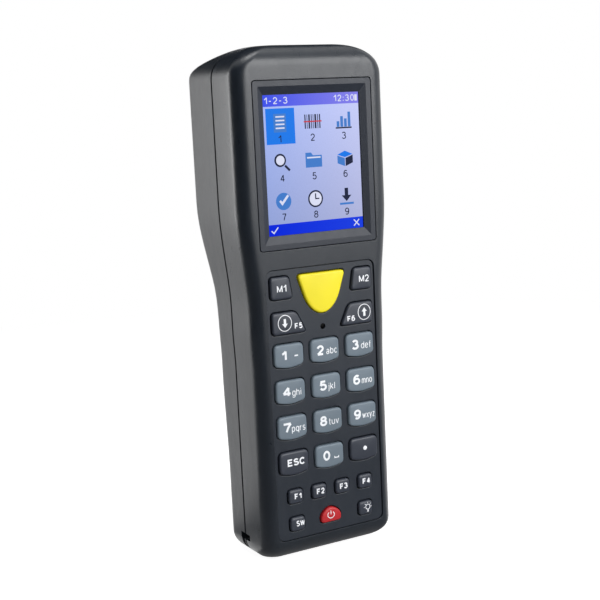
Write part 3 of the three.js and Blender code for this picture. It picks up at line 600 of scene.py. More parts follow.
SMALL_KEY_PITCH = 8.89
LENS_Z = 76.6
LENS_RADIUS = 0.8
LENS_REAR_DEPTH = 4.7
BEHIND_PANEL = 9

Key = namedtuple("Key", "name x z shape slot mirrored", defaults=("dark_key", False))
# The corners of each key's outline and their radii
KEY_SHAPES = {
    "number": ([(-5.35, -3.5), (0, -4.6), (5.35, -3.5), (5.35, 3.5), (-5.35, 3.5)],
               [1.4, 4.5, 1.4, 1.9, 1.9]),
    "small": (rectangle(-2.7, -2.35, 2.7, 2.35), [1.4]),
    "scan": ([(0, -7.4), (5.3, -4), (8.9, 6.6), (-8.9, 6.6), (-5.3, -4)],
             [3.6, 4.4, 1.8, 1.8, 4.4]),
    "memory": ([(-4.4, -3.6), (3.6, -3.6), (3.6, 3.6), (-3.2, 3.6)], [1.4]),
    "arrow": ([(-6.6, -3.55), (5.7, -3.55), (5.7, 3.55), (-3.2, 3.55)], [1.4, 1.4, 1.4, 1.9]),
    "power": ([(-3.85, -2.2), (3.85, -2.2), (3.85, 1), (0, 3.4), (-3.85, 1)],
              [1.4, 1.4, 2, 4.5, 2]),
}


def flange(outline):
    return slab("flange", outline, FLANGE_DEPTH, FLANGE_DEPTH + FLANGE_THICKNESS)


def screen_outline(half_x, half_z):
    return rounded_rectangle(half_x, LCD_CENTRE_Z - half_z, LCD_CENTRE_Z + half_z, 0.3, 0, 4)


def bezel_frame():
    levels = [(BEZEL_EDGE * (1 - cosine), bezel_outline(SNUG - BEZEL_EDGE * (1 - sine)))
              for sine, cosine in quarter_round(4)]
    piece = prism("bezel_frame", levels + [(BEZEL_BODY_DEPTH, bezel_outline(SNUG))])
    add(piece, flange(bezel_outline(SCREEN_FLANGE)))
    rim_x = BEZEL_HALF_WIDTH - BEZEL_RIM_WIDTH
    rim_z = BEZEL_HALF_HEIGHT - BEZEL_RIM_WIDTH
    opening = [(depth, screen_outline(rim_x + grow, rim_z + grow))
               for depth, grow in ((IN_FRONT, 0.2), (-HAIR, 0.2), (0.04, 0.08), (0.14, -0.1))]
    foot = screen_outline(PANE_HALF_X - PANE_MARGIN, PANE_HALF_Z - PANE_MARGIN)
    opening += [(BEZEL_SLOPE_DEPTH, foot), (BEZEL_BODY_DEPTH + 1, foot)]
    pocket_x = PANE_HALF_X + FIT_GAP
    pocket_z = PANE_HALF_Z + FIT_GAP
    pocket = box("pocket", -pocket_x, pocket_x, BEZEL_SLOPE_DEPTH, REACH,
                 LCD_CENTRE_Z - pocket_z, LCD_CENTRE_Z + pocket_z)
    return cut(piece, prism("opening", opening), pocket)


def key_layout():
    layout = [Key("scan", 0, 87.7, "scan", "yellow_key"),
              Key("m1", -15.2, 90.7, "memory", mirrored=True), Key("m2", 15.2, 90.7, "memory"),
              Key("f5", -13.1, 79.35, "arrow", mirrored=True), Key("f6", 13.1, 79.35, "arrow")]
    for index, name in enumerate("1 2 3 4 5 6 7 8 9 esc 0 dot".split()):
        row, column = divmod(index, 3)
        layout.append(Key(name, (column - 1) * KEY_PITCH_X, 69.15 - row * KEY_PITCH_Z, "number",
                          "grey_key" if name.isdigit() else "dark_key"))
    layout += [Key(f"f{i + 1}", (i - 1.5) * SMALL_KEY_PITCH, 22.15, "small") for i in range(4)]
    return layout + [Key("sw", -13.1, 12.85, "small"), Key("power", -0.4, 13.1, "power", "red_key"),
                     Key("light", 13.1, 12.85, "small")]


def key_outline(key, grow, scale=1.0):
    side = -1 if key.mirrored else 1
    points = [(key.x + side * x * scale, key.z + z * scale)
              for x, z in rounded_outline(*KEY_SHAPES[key.shape], grow)]
    return points[::-1] if key.mirrored else points


def key_cap(key):
    """A cap with a rounded edge and a slightly crowned top, over its flange."""
    top = SIGN_ROOM - KEY_PROUD
    levels = [(KEY_FLANGE_REAR - 0.4, key_outline(key, 0))]
    levels += [(top + KEY_CROWN + KEY_BEVEL_DEPTH * (1 - sine),
                key_outline(key, -KEY_BEVEL * (1 - cosine))) for sine, cosine in quarter_round(7)]
    levels += [(top + KEY_CROWN * scale ** 2, key_outline(key, -KEY_BEVEL, scale))
               for scale in (0.86, 0.7, 0.5, 0.25, 0.05)]
    return add(prism("cap_" + key.name, levels),
               slab("flange", key_outline(key, KEY_FLANGE), KEY_FLANGE_DEPTH, KEY_FLANGE_REAR),
               rod("stem", KEY_STEM_RADIUS, key.x, key.z, KEY_FLANGE_DEPTH,
                   KEY_FLANGE_REAR + 0.5, 16))


def keypad_plate(keys):
    piece = slab("keypad_plate", panel_outline(SNUG), PANEL_RECESS, PANEL_REAR_DEPTH + FIT_GAP)
    add(piece, flange(panel_outline(PANEL_FLANGE)))
    holes = [slab("room", panel_outline(-0.15), PANEL_REAR_DEPTH, BEHIND_PANEL)]
    rims = ((IN_FRONT, 0.25), (PANEL_RECESS, 0.25), (PANEL_RECESS + 0.08, 0.07),
            (PANEL_RECESS + 0.25, 0), (BEHIND_PANEL, 0))
    holes += [prism("hole", [(depth, key_outline(key, KEY_HOLE_GAP + rim)) for depth, rim in rims])
              for key in keys]
    holes.append(rod("lens_hole", LENS_RADIUS + 0.15, 0, LENS_Z, IN_FRONT, BEHIND_PANEL))
    return cut(piece, *holes)


def status_dot():
    levels = [(PANEL_RECESS + 0.2 + 0.25 * (1 - cosine),
               circle(0, LENS_Z, LENS_RADIUS * max(sine, 0.03), 24))
              for sine, cosine in quarter_round(5)]
    levels.append((LENS_REAR_DEPTH, levels[-1][1]))
    return add(prism("status_dot", levels),
               rod("rim", 2 * LENS_RADIUS, 0, LENS_Z, KEY_FLANGE_DEPTH, KEY_FLANGE_REAR, 24))


# Screws, scanner, socket, strap bar and battery


def case_screw(number, x, z):
    """A pan head with a cross recess, sunk in its bore."""
    top = rear_depth(z) - SCREW_SINK
    piece = prism(f"screw_{number}", [
        (top - SCREW_HEAD_HEIGHT * share, circle(x, z, SCREW_HEAD_RADIUS * radius, 32))
        for share, radius in ((1, 0.96), (0.28, 1), (0.1, 0.9), (0, 0.72))])
    arms = [prism("arm", [(depth, rectangle(x - a * grow, z - b * grow, x + a * grow, z + b * grow))
                          for depth, grow in ((top - 0.8, 0.45), (top + 1, 1.4))])
            for a, b in ((1.15, 0.26), (0.26, 1.15))]
    cut(piece, *arms)
    return add(piece, rod("shank", SCREW_SHANK_RADIUS, x, z, SCREW_TIP_DEPTH,
                          top - SCREW_HEAD_HEIGHT + 0.2, 20))


def scan_pane():
    return scan_plate("scan_pane", 0, [(-SCAN_THICKNESS, 0), (-0.45, 0), (-0.32, -0.05),
                                       (-0.25, -0.2)])


def upright(name, levels):
    """A solid through (z, outline) levels, each outline of X and depth."""
    return loft(name, [[(x, depth, z) for x, depth in outline] for z, outline in levels])


def socket_shell():
    _, x1, depth0, depth1, z0, z1 = device_box("usb_socket")

    def tube(name, inset, radius, bottom, top):
        face = rounded_rectangle(x1 - inset, depth0 + inset, depth1 - inset, radius, 0, 5)
        return upright(name, [(bottom, face), (top, face)])

    piece = tube("socket_shell", 0, 1.1, z0, z1)
    cut(piece, tube("cavity", 0.4, 0.9, -1, z0 + 5.6))
    middle = (depth0 + depth1) / 2
    half_x = x1 - 1.1
    return add(piece, box("tongue", -half_x, half_x, middle - 0.38, middle + 0.38, z0 + 0.9, z0 + 6))


def battery_pack():
    """The pack, rounded along its length, in its wrap."""
    _, x1, depth0, depth1, z0, z1 = device_box("battery")
    return upright("battery_pack", [
        (z, rounded_rectangle(x1 - inset, depth0 + inset, depth1 - inset, 1.6, 0, 6))
        for z, inset in ((z0, 0.7), (z0 + 0.2, 0.25), (z0 + 0.7, 0), (z1 - 0.7, 0),
                         (z1 - 0.2, 0.25), (z1, 0.7))])


# Signs on the keys: digits, letters and plain marks

SIGN_THICKNESS = 0.12
SIGN_PROUD = 0.015
STROKE_STEP = 0.006
LONGEST_EDGE = 0.5
HALVINGS = 4
RAY_START_DEPTH = -5
DIGIT_BASE = -1.8
DIGIT_HEIGHT = 3.35
DIGIT_PEN = 0.72
LETTER_BASE = -1.75
LETTER_HEIGHT = 2.35
LETTER_PEN = 0.26
LETTER_GAP = 0.13


def join(name, parts):
    """Several objects become one piece."""
    mesh = bpy.data.meshes.new(name)
    with bmesh_of(mesh, *[part.data for part in parts]):
        for part in parts:
            bpy.data.objects.remove(part)
    return make_object(name, mesh)


def flat_shape(name, outlines, depth0, depth1):
    return join(name, [slab("part", outline, depth0, depth1) for outline in outlines])


def parted(line):
    """An open line parted where it turns too sharply for one mitre."""
    points = [Vector(point) for point in line]
    if isinstance(line, tuple):
        return [tuple(points)]
    lines = [points[:1]]
    for i in range(1, len(points)):
        lines[-1].append(points[i])
        if i + 1 < len(points):
            into = (points[i] - points[i - 1]).normalized()
            out = (points[i + 1] - points[i]).normalized()
            if into.dot(out) < -0.1:
                lines.append([points[i]])
    return lines


def pen_stroke(line, pen, depth0, depth1):
    """A solid along a line: a list of points, or a tuple where it closes on itself."""
    closed = isinstance(line, tuple)
    count = len(line)
    rings = []
    for i, here in enumerate(line):
        before = line[i - 1] if i or closed else here * 2 - line[1]
        after = line[(i + 1) % count] if i + 1 < count or closed else here * 2 - line[i - 1]
        into = (here - before).normalized()
        out = (after - here).normalized()
        mitre = Vector((-into.y - out.y, into.x + out.x)) / max(1 + into.dot(out), 0.5)
        left = here + mitre * pen / 2
        right = here - mitre * pen / 2
        rings.append([(left.x, depth0, left.y), (right.x, depth0, right.y),
                      (right.x, depth1, right.y), (left.x, depth1, left.y)])
    return loft("part", rings, closed)


def stroke_shape(name, strokes, depth0, depth1):
    """One piece from strokes, each a line and its pen width.

    Strokes that cross lie a hair apart, so that no two faces share a place.
    """
    pens = [(part, pen) for line, pen in strokes for part in parted(line)]
    return join(name, [pen_stroke(line, pen, depth0 - STROKE_STEP * (order % 4), depth1)
                       for order, (line, pen) in enumerate(pens)])


def curve(cx, cz, rx, rz, start, end, steps=9):
    """Points along part of an ellipse, between two angles in degrees."""
    angles = [math.radians(lerp(start, end, i / steps)) for i in range(steps + 1)]
    return [(cx + rx * math.cos(angle), cz + rz * math.sin(angle)) for angle in angles]


def loop(cx, cz, rx, rz, steps=18):
    return tuple(curve(cx, cz, rx, rz, 0, 360 - 360 / steps, steps - 1))


# A plain pen alphabet: each sign has its width and its lines in a unit box.
# Small letters are 0.72 high.
BOWL = loop(0.5, 0.36, 0.5, 0.36)
ARCH = curve(0.5, 0.42, 0.5, 0.3, 180, 0) + [(1, 0)]
STEM = [(0, 1), (0, 0)]
SHORT_STEM = [(0, 0.72), (0, 0)]
ALPHABET = {
    "0": (0.54, loop(0.5, 0.5, 0.5, 0.5, 24)),
    "1": (0.34, [(0, 0.7), (0.55, 0.84), (1, 1.04), (1, 0)]),
    "2": (0.54, curve(0.5, 0.7, 0.48, 0.3, 172, -32) + [(0, 0), (1, 0)]),
    "3": (0.54, curve(0.47, 0.76, 0.44, 0.24, 158, -90), curve(0.47, 0.27, 0.52, 0.27, 90, -158)),
    "4": (0.56, [(0.74, 0), (0.74, 1), (0, 0.27), (1.04, 0.27)]),
    "5": (0.54, [(0.92, 1), (0.2, 1), (0.1, 0.5)] + curve(0.5, 0.32, 0.5, 0.32, 128, -155)),
    "6": (0.54, loop(0.5, 0.31, 0.5, 0.31), curve(0.55, 0.5, 0.55, 0.5, 52, 200)),
    "7": (0.54, [(0, 1), (1, 1), (0.6, 0.5), (0.38, 0)]),
    "8": (0.54, loop(0.5, 0.77, 0.42, 0.23), loop(0.5, 0.27, 0.5, 0.27)),
    "9": (0.54, loop(0.5, 0.69, 0.5, 0.31), curve(0.45, 0.5, 0.55, 0.5, 20, -128)),
    "a": (0.46, curve(0.5, 0.5, 0.4, 0.22, 165, 0) + [(0.9, 0)], loop(0.42, 0.2, 0.42, 0.2)),
    "b": (0.48, BOWL, STEM),
    "c": (0.44, curve(0.5, 0.36, 0.5, 0.36, 42, 318)),
    "d": (0.48, BOWL, [(1, 1), (1, 0)]),
    "e": (0.48, [(0.04, 0.38)] + curve(0.5, 0.36, 0.5, 0.36, 4, 318, 16)),
    "f": (0.26, curve(1, 0.74, 0.55, 0.26, 90, 180) + [(0.45, 0)], [(0, 0.68), (1, 0.68)]),
    "g": (0.48, BOWL, [(1, 0.72)] + curve(0.5, -0.04, 0.5, 0.24, 0, -150)),
    "h": (0.46, STEM, ARCH),
    "i": (0.1, [(0.5, 0.72), (0.5, 0)], [(0.5, 1), (0.5, 0.9)]),
    "j": (0.16, curve(0.1, -0.12, 0.7, 0.16, -90, 0) + [(0.8, 0.72)], [(0.8, 1), (0.8, 0.9)]),
    "k": (0.44, STEM, [(0.95, 0.72), (0.02, 0.22)], [(0.36, 0.42), (1, 0)]),
    "l": (0.1, [(0.5, 1), (0.5, 0)]),
    "m": (0.74, SHORT_STEM, curve(0.25, 0.46, 0.25, 0.26, 180, 0) + [(0.5, 0)],
          curve(0.75, 0.46, 0.25, 0.26, 180, 0) + [(1, 0)]),
    "n": (0.46, SHORT_STEM, ARCH),
    "o": (0.5, BOWL),
    "p": (0.48, BOWL, [(0, 0.72), (0, -0.28)]),
    "q": (0.48, BOWL, [(1, 0.72), (1, -0.28)]),
    "r": (0.28, SHORT_STEM, curve(0.85, 0.36, 0.85, 0.34, 180, 85)),
    "s": (0.42, curve(0.5, 0.54, 0.42, 0.18, 25, 270) + curve(0.5, 0.18, 0.5, 0.18, 80, -155)),
    "t": (0.26, [(0.4, 0.95), (0.4, 0.2)] + curve(0.9, 0.16, 0.5, 0.16, 180, 270, 4),
          [(0, 0.7), (0.95, 0.7)]),
    "u": (0.46, [(0, 0.72)] + curve(0.5, 0.3, 0.5, 0.3, 180, 360), [(1, 0.72), (1, 0)]),
    "v": (0.46, [(0, 0.72), (0.5, 0), (1, 0.72)]),
    "w": (0.66, [(0, 0.72), (0.25, 0), (0.5, 0.68), (0.75, 0), (1, 0.72)]),
    "x": (0.44, [(0, 0.72), (1, 0)], [(0, 0), (1, 0.72)]),
    "y": (0.44, [(0, 0.72), (0.52, 0.02)], [(1, 0.72), (0.3, -0.28)]),
    "z": (0.42, [(0, 0.72), (0.95, 0.72), (0.05, 0), (1, 0)]),
    "C": (0.62, curve(0.5, 0.5, 0.5, 0.5, 40, 320, 16)),
    "E": (0.52, [(1, 1), (0, 1), (0, 0), (1, 0)], [(0, 0.52), (0.9, 0.52)]),
    "F": (0.5, [(1, 1), (0, 1), (0, 0)], [(0, 0.52), (0.86, 0.52)]),
    "M": (0.72, [(0, 0), (0, 1), (0.5, 0.06), (1, 1), (1, 0)]),
    "S": (0.56, curve(0.5, 0.76, 0.45, 0.24, 25, 268) + curve(0.5, 0.26, 0.5, 0.26, 78, -155)),
    "W": (0.96, [(0, 1), (0.25, 0), (0.5, 0.96), (0.75, 0), (1, 1)]),
    ":": (0.08, [(0.5, 0.68), (0.5, 0.54)], [(0.5, 0.14), (0.5, 0)]),
    "-": (0.3, [(0, 0.42), (1, 0.42)]),
}


def written(text, x, z, height, pen, squeeze=1.0, gap=0.16):
    """The strokes of a text whose lower left corner is at x, z."""
    strokes = []
    for sign in text:
        width, *lines = ALPHABET[sign]
        wide = width * height * squeeze
        for line in lines:
            placed = [(x + pen / 2 + px * wide, z + pen / 2 + pz * (height - pen)) for px, pz in line]
            strokes.append((type(line)(placed), pen))
        x += wide + pen + gap * height * squeeze
    return strokes


def lay_on(piece, cap):
    """Sets a thin piece onto the crowned top of a key cap."""
    with bmesh_of(piece.data) as work:
        for _ in range(HALVINGS):
            bmesh.ops.triangulate(work, faces=work.faces)
            long = [edge for edge in work.edges if edge.calc_length() > LONGEST_EDGE * MM]
            if long:
                bmesh.ops.subdivide_edges(work, edges=long, cuts=1)
        bmesh.ops.triangulate(work, faces=work.faces)
    tree = BVHTree.FromObject(cap, bpy.context.evaluated_depsgraph_get())
    middle = sum(vert.co.y for vert in piece.data.vertices) / len(piece.data.vertices)
    for vert in piece.data.vertices:
        start = Vector((vert.co.x, (SHIFT + RAY_START_DEPTH) * MM, vert.co.z))
        hit = tree.ray_cast(start, Vector((0, 1, 0)))[0]
        surface = hit.y if hit else (SHIFT - KEY_PROUD + SIGN_ROOM) * MM
        if vert.co.y < middle:
            lift = (SHIFT - KEY_PROUD) * MM - vert.co.y
            vert.co.y = surface - SIGN_PROUD * MM - lift
        else:
            vert.co.y = surface + SIGN_THICKNESS * MM
    return piece


# Each digit's place and squeeze, and the small letters beside it with theirs
DIGIT_SIGNS = {
    "0": (-2.65, 1.06, "", 0, 1), "1": (-2.95, 1.06, "", 0, 1),
    "2": (-3.25, 1.06, "abc", 0.25, 0.8856), "3": (-3.25, 1.06, "def", 0.25, 0.8856),
    "4": (-3.2, 1.28, "ghi", 0.25, 0.8856), "5": (-2.9, 1.14, "jkl", 0.3, 0.8856),
    "6": (-3.25, 1.06, "mno", 0, 0.7128), "7": (-3.75, 1.42, "pqrs", -0.5, 0.8316),
    "8": (-3.25, 1.06, "tuv", 0, 0.9288), "9": (-3.5, 1.06, "wxyz", -0.3, 0.702),
}
# The marks two of the digits have in place of letters
DIGIT_MARKS = {
    "0": [([(1.7, -0.75), (1.7, -1.3), (3.2, -1.3), (3.2, -0.75)], 0.34)],
    "1": [([(1.8, -0.5), (3.1, -0.5)], 0.46)],
}
# Each other text's lower left corner, height, pen, squeeze and gap
TEXT_SIGNS = {
    "esc": (-2.65, -1.15, 2.35, 0.5, 1.16, 0.07), "sw": (-0.75, -0.75, 1.95, 0.36, 0.78, 0.12),
    "m1": (-1.45, -1.25, 2.3, 0.32, 1, 0.14), "m2": (-1.35, -1.25, 2.3, 0.32, 1, 0.14),
    "f5": (2.2, -2.2, 1.9, 0.38, 0.95, 0.14), "f6": (-4.25, -2.4, 1.9, 0.38, 0.95, 0.14),
    "f1": (-0.7, -0.9, 2, 0.42, 0.92, 0.12), "f2": (-1.25, -0.9, 2, 0.42, 0.92, 0.12),
    "f3": (-1.25, -0.9, 2, 0.42, 0.92, 0.12), "f4": (-1.25, -0.9, 2, 0.42, 0.92, 0.12),
}
ARROW = [(-0.42, -1.35), (0.42, -1.35), (0.42, 0.2), (1.0, 0.2), (0, 1.5), (-1.0, 0.2), (-0.42, 0.2)]


def key_marks(name):
    """The strokes and filled outlines of a key's sign, about the key's middle."""
    if name in DIGIT_SIGNS:
        left, wide, letters, start, squeeze = DIGIT_SIGNS[name]
        strokes = written(name, left, DIGIT_BASE, DIGIT_HEIGHT, DIGIT_PEN, wide)
        strokes += written(letters, start, LETTER_BASE, LETTER_HEIGHT, LETTER_PEN, squeeze,
                           LETTER_GAP)
        return strokes + DIGIT_MARKS.get(name, []), []
    if name == "dot":
        return [], [loop(0.25, -0.15, 0.72, 0.72, 24)]
    if name == "power":
        return [(curve(-0.3, 0.3, 1.25, 1.1, 128, 412, 24), 0.26),
                ([(-0.3, 0.45), (-0.3, 1.75)], 0.26)], []
    if name == "light":
        lamp = [(loop(0.65, 0.3, 0.85, 0.85, 24), 0.24), ([(0.65, -0.75), (0.65, -1.5)], 0.5)]
        rays = zip(*[curve(0.65, 0.3, reach, reach, 0, 180, 4) for reach in (1.2, 1.6)])
        return lamp + [([inner, outer], 0.2) for inner, outer in rays], []
    strokes = written(name.upper(), *TEXT_SIGNS[name])
    if name not in ("f5", "f6"):
        return strokes, []
    middle, turn = (-1.3, -1) if name == "f5" else (2.3, 1)
    ring = (loop(middle, 0.15, 2.4, 2.55, 48), 0.24)
    return [ring] + strokes, [[(middle + x, 0.15 + z * turn) for x, z in ARROW]]


def key_sign(key):
    """The white sign on one key."""
    def placed(line):
        return type(line)((key.x + x, key.z + z) for x, z in line)

    strokes, outlines = key_marks(key.name)
    depths = (-KEY_PROUD, SIGN_THICKNESS - KEY_PROUD)
    parts = [stroke_shape("sign", [(placed(line), pen) for line, pen in strokes], *depths),
             flat_shape("sign", [placed(outline) for outline in outlines], *depths)]
    return join("sign_" + key.name, parts)


# Materials


def linear(colour):
    """A colour as the eye reads it, 0 to 255, as the shader wants it."""
    shares = [value / 255 for value in colour]
    return (*[v / 12.92 if v <= 0.04045 else ((v + 0.055) / 1.055) ** 2.4 for v in shares], 1)


def feed(node, inputs):
    """Sets a node's inputs, each a value, a socket or a node whose first output it takes."""
    for key, value in inputs.items():
        if isinstance(value, bpy.types.Node):
            value = next(socket for socket in value.outputs if socket.enabled)
        if isinstance(value, bpy.types.NodeSocket):
            node.id_data.links.new(value, node.inputs[key])
        else:
            node.inputs[key].default_value = value
    return node


def new_node(tree, kind, inputs, **settings):
    node = tree.nodes.new("ShaderNode" + kind)
    for name, value in settings.items():
        setattr(node, name, value)
    return feed(node, inputs)


class Finish:
    """A node material: colour drift, roughness drift and a fine relief."""

    def __init__(self, name, colour, roughness, metallic=0.0, specular=0.5):
        self.material = bpy.data.materials.new(name)
        self.material.use_nodes = True
        self.add = partial(new_node, self.material.node_tree)
        self.shader = self.material.node_tree.nodes["Principled BSDF"]
        self.colour = linear(colour)
        self.roughness = roughness
        feed(self.shader, {"Base Color": self.colour, "Roughness": roughness,
                           "Metallic": metallic, "Specular IOR Level": specular})
        self.place = self.add("TexCoord", {}).outputs["Object"]

    def noise(self, size_mm, detail, stretch=(1, 1, 1)):
        """Noise with features of about that size, stretched along the axes."""
        place = self.add("Mapping", {"Vector": self.place, "Scale": stretch})
        return self.add("TexNoise", {"Vector": place, "Scale": 1 / (size_mm * MM),
                                     "Detail": detail})

    def cells(self, size_mm):
        return self.add("TexVoronoi", {"Vector": self.place, "Scale": 1 / (size_mm * MM)},
                        feature="F1")

    def ranged(self, value, low, high, source=(0.3, 0.7)):
        return self.add("MapRange", {"Value": value, "From Min": source[0], "From Max": source[1],
                                     "To Min": low, "To Max": high})

    def mix(self, factor, first, second, blend="MIX"):
        return self.add("Mix", {"Factor": factor, "A": first, "B": second}, data_type="RGBA",
                        blend_type=blend)

    def drift(self, value, amount, source=(0.3, 0.7), other=None):
        """The colour drifts by an amount, or towards another colour."""
        dark, light = [(*[min(c * share, 1) for c in self.colour[:3]], 1)
                       for share in (1 - amount, 1 + amount)]
        mix = self.mix(self.ranged(value, 0, 1, source), dark, linear(other) if other else light)
        feed(self.shader, {"Base Color": mix})

    def rough(self, value, spread):
        rough = self.ranged(value, self.roughness - spread, self.roughness + spread)
        feed(self.shader, {"Roughness": rough})

    def relief(self, value, depth_mm, under=None):
        bump = self.add("Bump", {"Strength": 1, "Distance": depth_mm * MM, "Height": value})
        if under:
            feed(bump, {"Normal": under})
        feed(self.shader, {"Normal": bump})
        return bump


def moulded(name, colour, roughness, grain_mm, grain_depth, spread=0.04, specular=0.5):
    """Moulded plastic: spark-eroded grain, slow drift of tone and gloss, faint scuffs."""
    finish = Finish(name, colour, roughness, 0, specular)
    finish.drift(finish.noise(18, 2), 0.06)
    finish.rough(finish.noise(2.2, 6, (1, 1, 0.35)), spread)
    under = finish.relief(finish.noise(1.1, 2), grain_depth * 0.7)
    finish.relief(finish.noise(grain_mm, 2), grain_depth, under)
    return finish.material


def metal(name, colour, roughness, stretch=(1, 1, 0.06)):
    """Drawn or plated metal: fine lines one way, and cloudy patches of gloss."""
    finish = Finish(name, colour, roughness, 1)
    finish.drift(finish.noise(3, 4), 0.08)
    finish.rough(finish.noise(0.6, 4, stretch), 0.08)
    finish.relief(finish.noise(0.12, 3, stretch), 0.004)
    return finish.material


def rubbery(name, colour, roughness, cell_mm, depth):
    """Foam or silicone: pores and a dull, even surface."""
    finish = Finish(name, colour, roughness, 0, 0.3)
    finish.drift(finish.noise(1.5, 3), 0.12)
    finish.rough(finish.noise(4, 2), 0.04)
    finish.relief(finish.cells(cell_mm), depth)
    return finish.material


def circuit():
    """Green solder mask over raised tracks."""
    finish = Finish("solder_mask", (22, 92, 52), 0.42)
    tracks = finish.add("TexBrick", {"Vector": finish.place, "Scale": 380,
                                     "Mortar Size": 0.09}).outputs["Fac"]
    finish.drift(tracks, 0.18, (0, 1), (38, 128, 74))
    finish.rough(finish.noise(5, 3), 0.06)
    finish.relief(tracks, 0.03)
    return finish.material


def lit(name, colour, right=None, fade=0.0):
    """A lit part of the screen, glossy itself, over a fine grid of dots.

    It runs from one colour to another across, and gains by the fade from middle to top.
    """
    finish = Finish(name, (4, 4, 6), 0.2, 0, 0.03)
    split = finish.add("SeparateXYZ", {"Vector": finish.place}).outputs
    half_x = LCD_WIDTH / 2 * MM
    across = finish.ranged(split["X"], 0, 1, (-half_x, half_x))
    shade = finish.mix(across, linear(colour), linear(right or colour))
    grid = finish.ranged(finish.cells(0.198), 1, 0.9, (0, 0.7))
    rise = finish.ranged(split["Z"], 1 - fade, 1 + fade, (SCREEN_BOTTOM * MM, SCREEN_TOP * MM))
    gain = finish.add("Math", {0: grid, 1: rise}, operation="MULTIPLY")
    feed(finish.shader, {"Emission Strength": 1, "Emission Color": linear(colour)})
    feed(finish.shader, {"Emission Color": finish.mix(1, shade, gain, "MULTIPLY")})
    finish.rough(finish.noise(6, 3), 0.03)
    return finish.material


def glossy(name, colour, roughness, coat, specular=0.6):
    """A clear or tinted moulding with fine swirls in its gloss."""
    finish = Finish(name, colour, roughness, 0, specular)
    feed(finish.shader, {"Coat Weight": coat, "Coat Roughness": 0.04})
    finish.drift(finish.noise(7, 3), 0.1)
    finish.rough(finish.noise(1.2, 5, (1, 1, 0.3)), 0.03)
    finish.relief(finish.noise(9, 1), 0.01)
    return finish.material


def wrapped():
    """Shrink film over the battery cell, with soft wrinkles along it."""
    finish = Finish("battery_film", (44, 86, 158), 0.34)
    finish.drift(finish.noise(12, 3), 0.1)
    finish.rough(finish.noise(3, 3), 0.06)
    finish.relief(finish.noise(3.2, 3, (1, 1, 0.2)), 0.12)
    return finish.material


case_look = moulded("case_texture", (27, 33, 41), 0.32, 0.32, 0.030, 0.05)
rear_look = moulded("rear_texture", (28, 33, 40), 0.34, 0.32, 0.034, 0.05)
bezel_look = moulded("bezel_texture", (28, 34, 45), 0.42, 0.3, 0.022, specular=0.4)
panel_look = moulded("panel_texture", (33, 39, 48), 0.4, 0.3, 0.024, specular=0.43)
sign_look = moulded("sign_ink", (232, 234, 238), 0.5, 0.2, 0.006)
black_look = moulded("black_moulding", (34, 34, 36), 0.5, 0.3, 0.02, 0.05)
steel_look = metal("plated_steel", (190, 192, 194), 0.3)
KEY_LOOKS = {
    "dark_key": moulded("dark_key_texture", (46, 51, 62), 0.42, 0.26, 0.02),
    "grey_key": moulded("grey_key_texture", (102, 115, 126), 0.46, 0.26, 0.018),
    "yellow_key": moulded("yellow_texture", (232, 216, 14), 0.42, 0.26, 0.014),
    "red_key": moulded("red_texture", (180, 24, 32), 0.42, 0.26, 0.014),
}


# What the screen shows: plain signs and digits on thin layers under a gloss

SCREEN_LEFT = -LCD_WIDTH / 2
SCREEN_BOTTOM = LCD_CENTRE_Z - LCD_HEIGHT / 2
SCREEN_TOP = LCD_CENTRE_Z + LCD_HEIGHT / 2
PICTURE_DEPTH = PANE_DEPTH + 0.25
LAYER = 0.05
EDGE = 0.08
BAR_HEIGHT = 3.5
COLUMNS = 3
ROWS = 3
ICON_SCALE = 1.3
DIGIT_DROP = 6.1

INKS = {
    "blue": lit("screen_icon", (70, 128, 208)),
    "ink": lit("screen_ink", (34, 40, 66)),
    "white": lit("screen_white", (226, 230, 252)),
    "tile": lit("screen_tile", (26, 124, 240)),
    "red": lit("screen_red", (206, 60, 70)),
}


def on_screen(line):
    """A line placed from the screen's lower left corner."""
    return type(line)((SCREEN_LEFT + x, SCREEN_BOTTOM + z) for x, z in line)


def screen_piece(name, look, level, outlines, strokes=()):
    """Filled outlines, or strokes, on one layer of the picture."""
    depth = PICTURE_DEPTH - level * LAYER
    if strokes:
        placed = [(on_screen(line), pen) for line, pen in strokes]
        piece = stroke_shape(name, placed, depth, depth + LAYER)
    else:
        piece = flat_shape(name, map(on_screen, outlines), depth, depth + LAYER * 0.9)
    piece.data.materials.append(look)
    return piece


def code_bars():
    at = -2.1
    for width in (0.3, 0.15, 0.4, 0.2, 0.15, 0.45, 0.2, 0.3):
        yield "ink", rectangle(at, -1.7, at + width, 1.7)
        at += width + 0.3


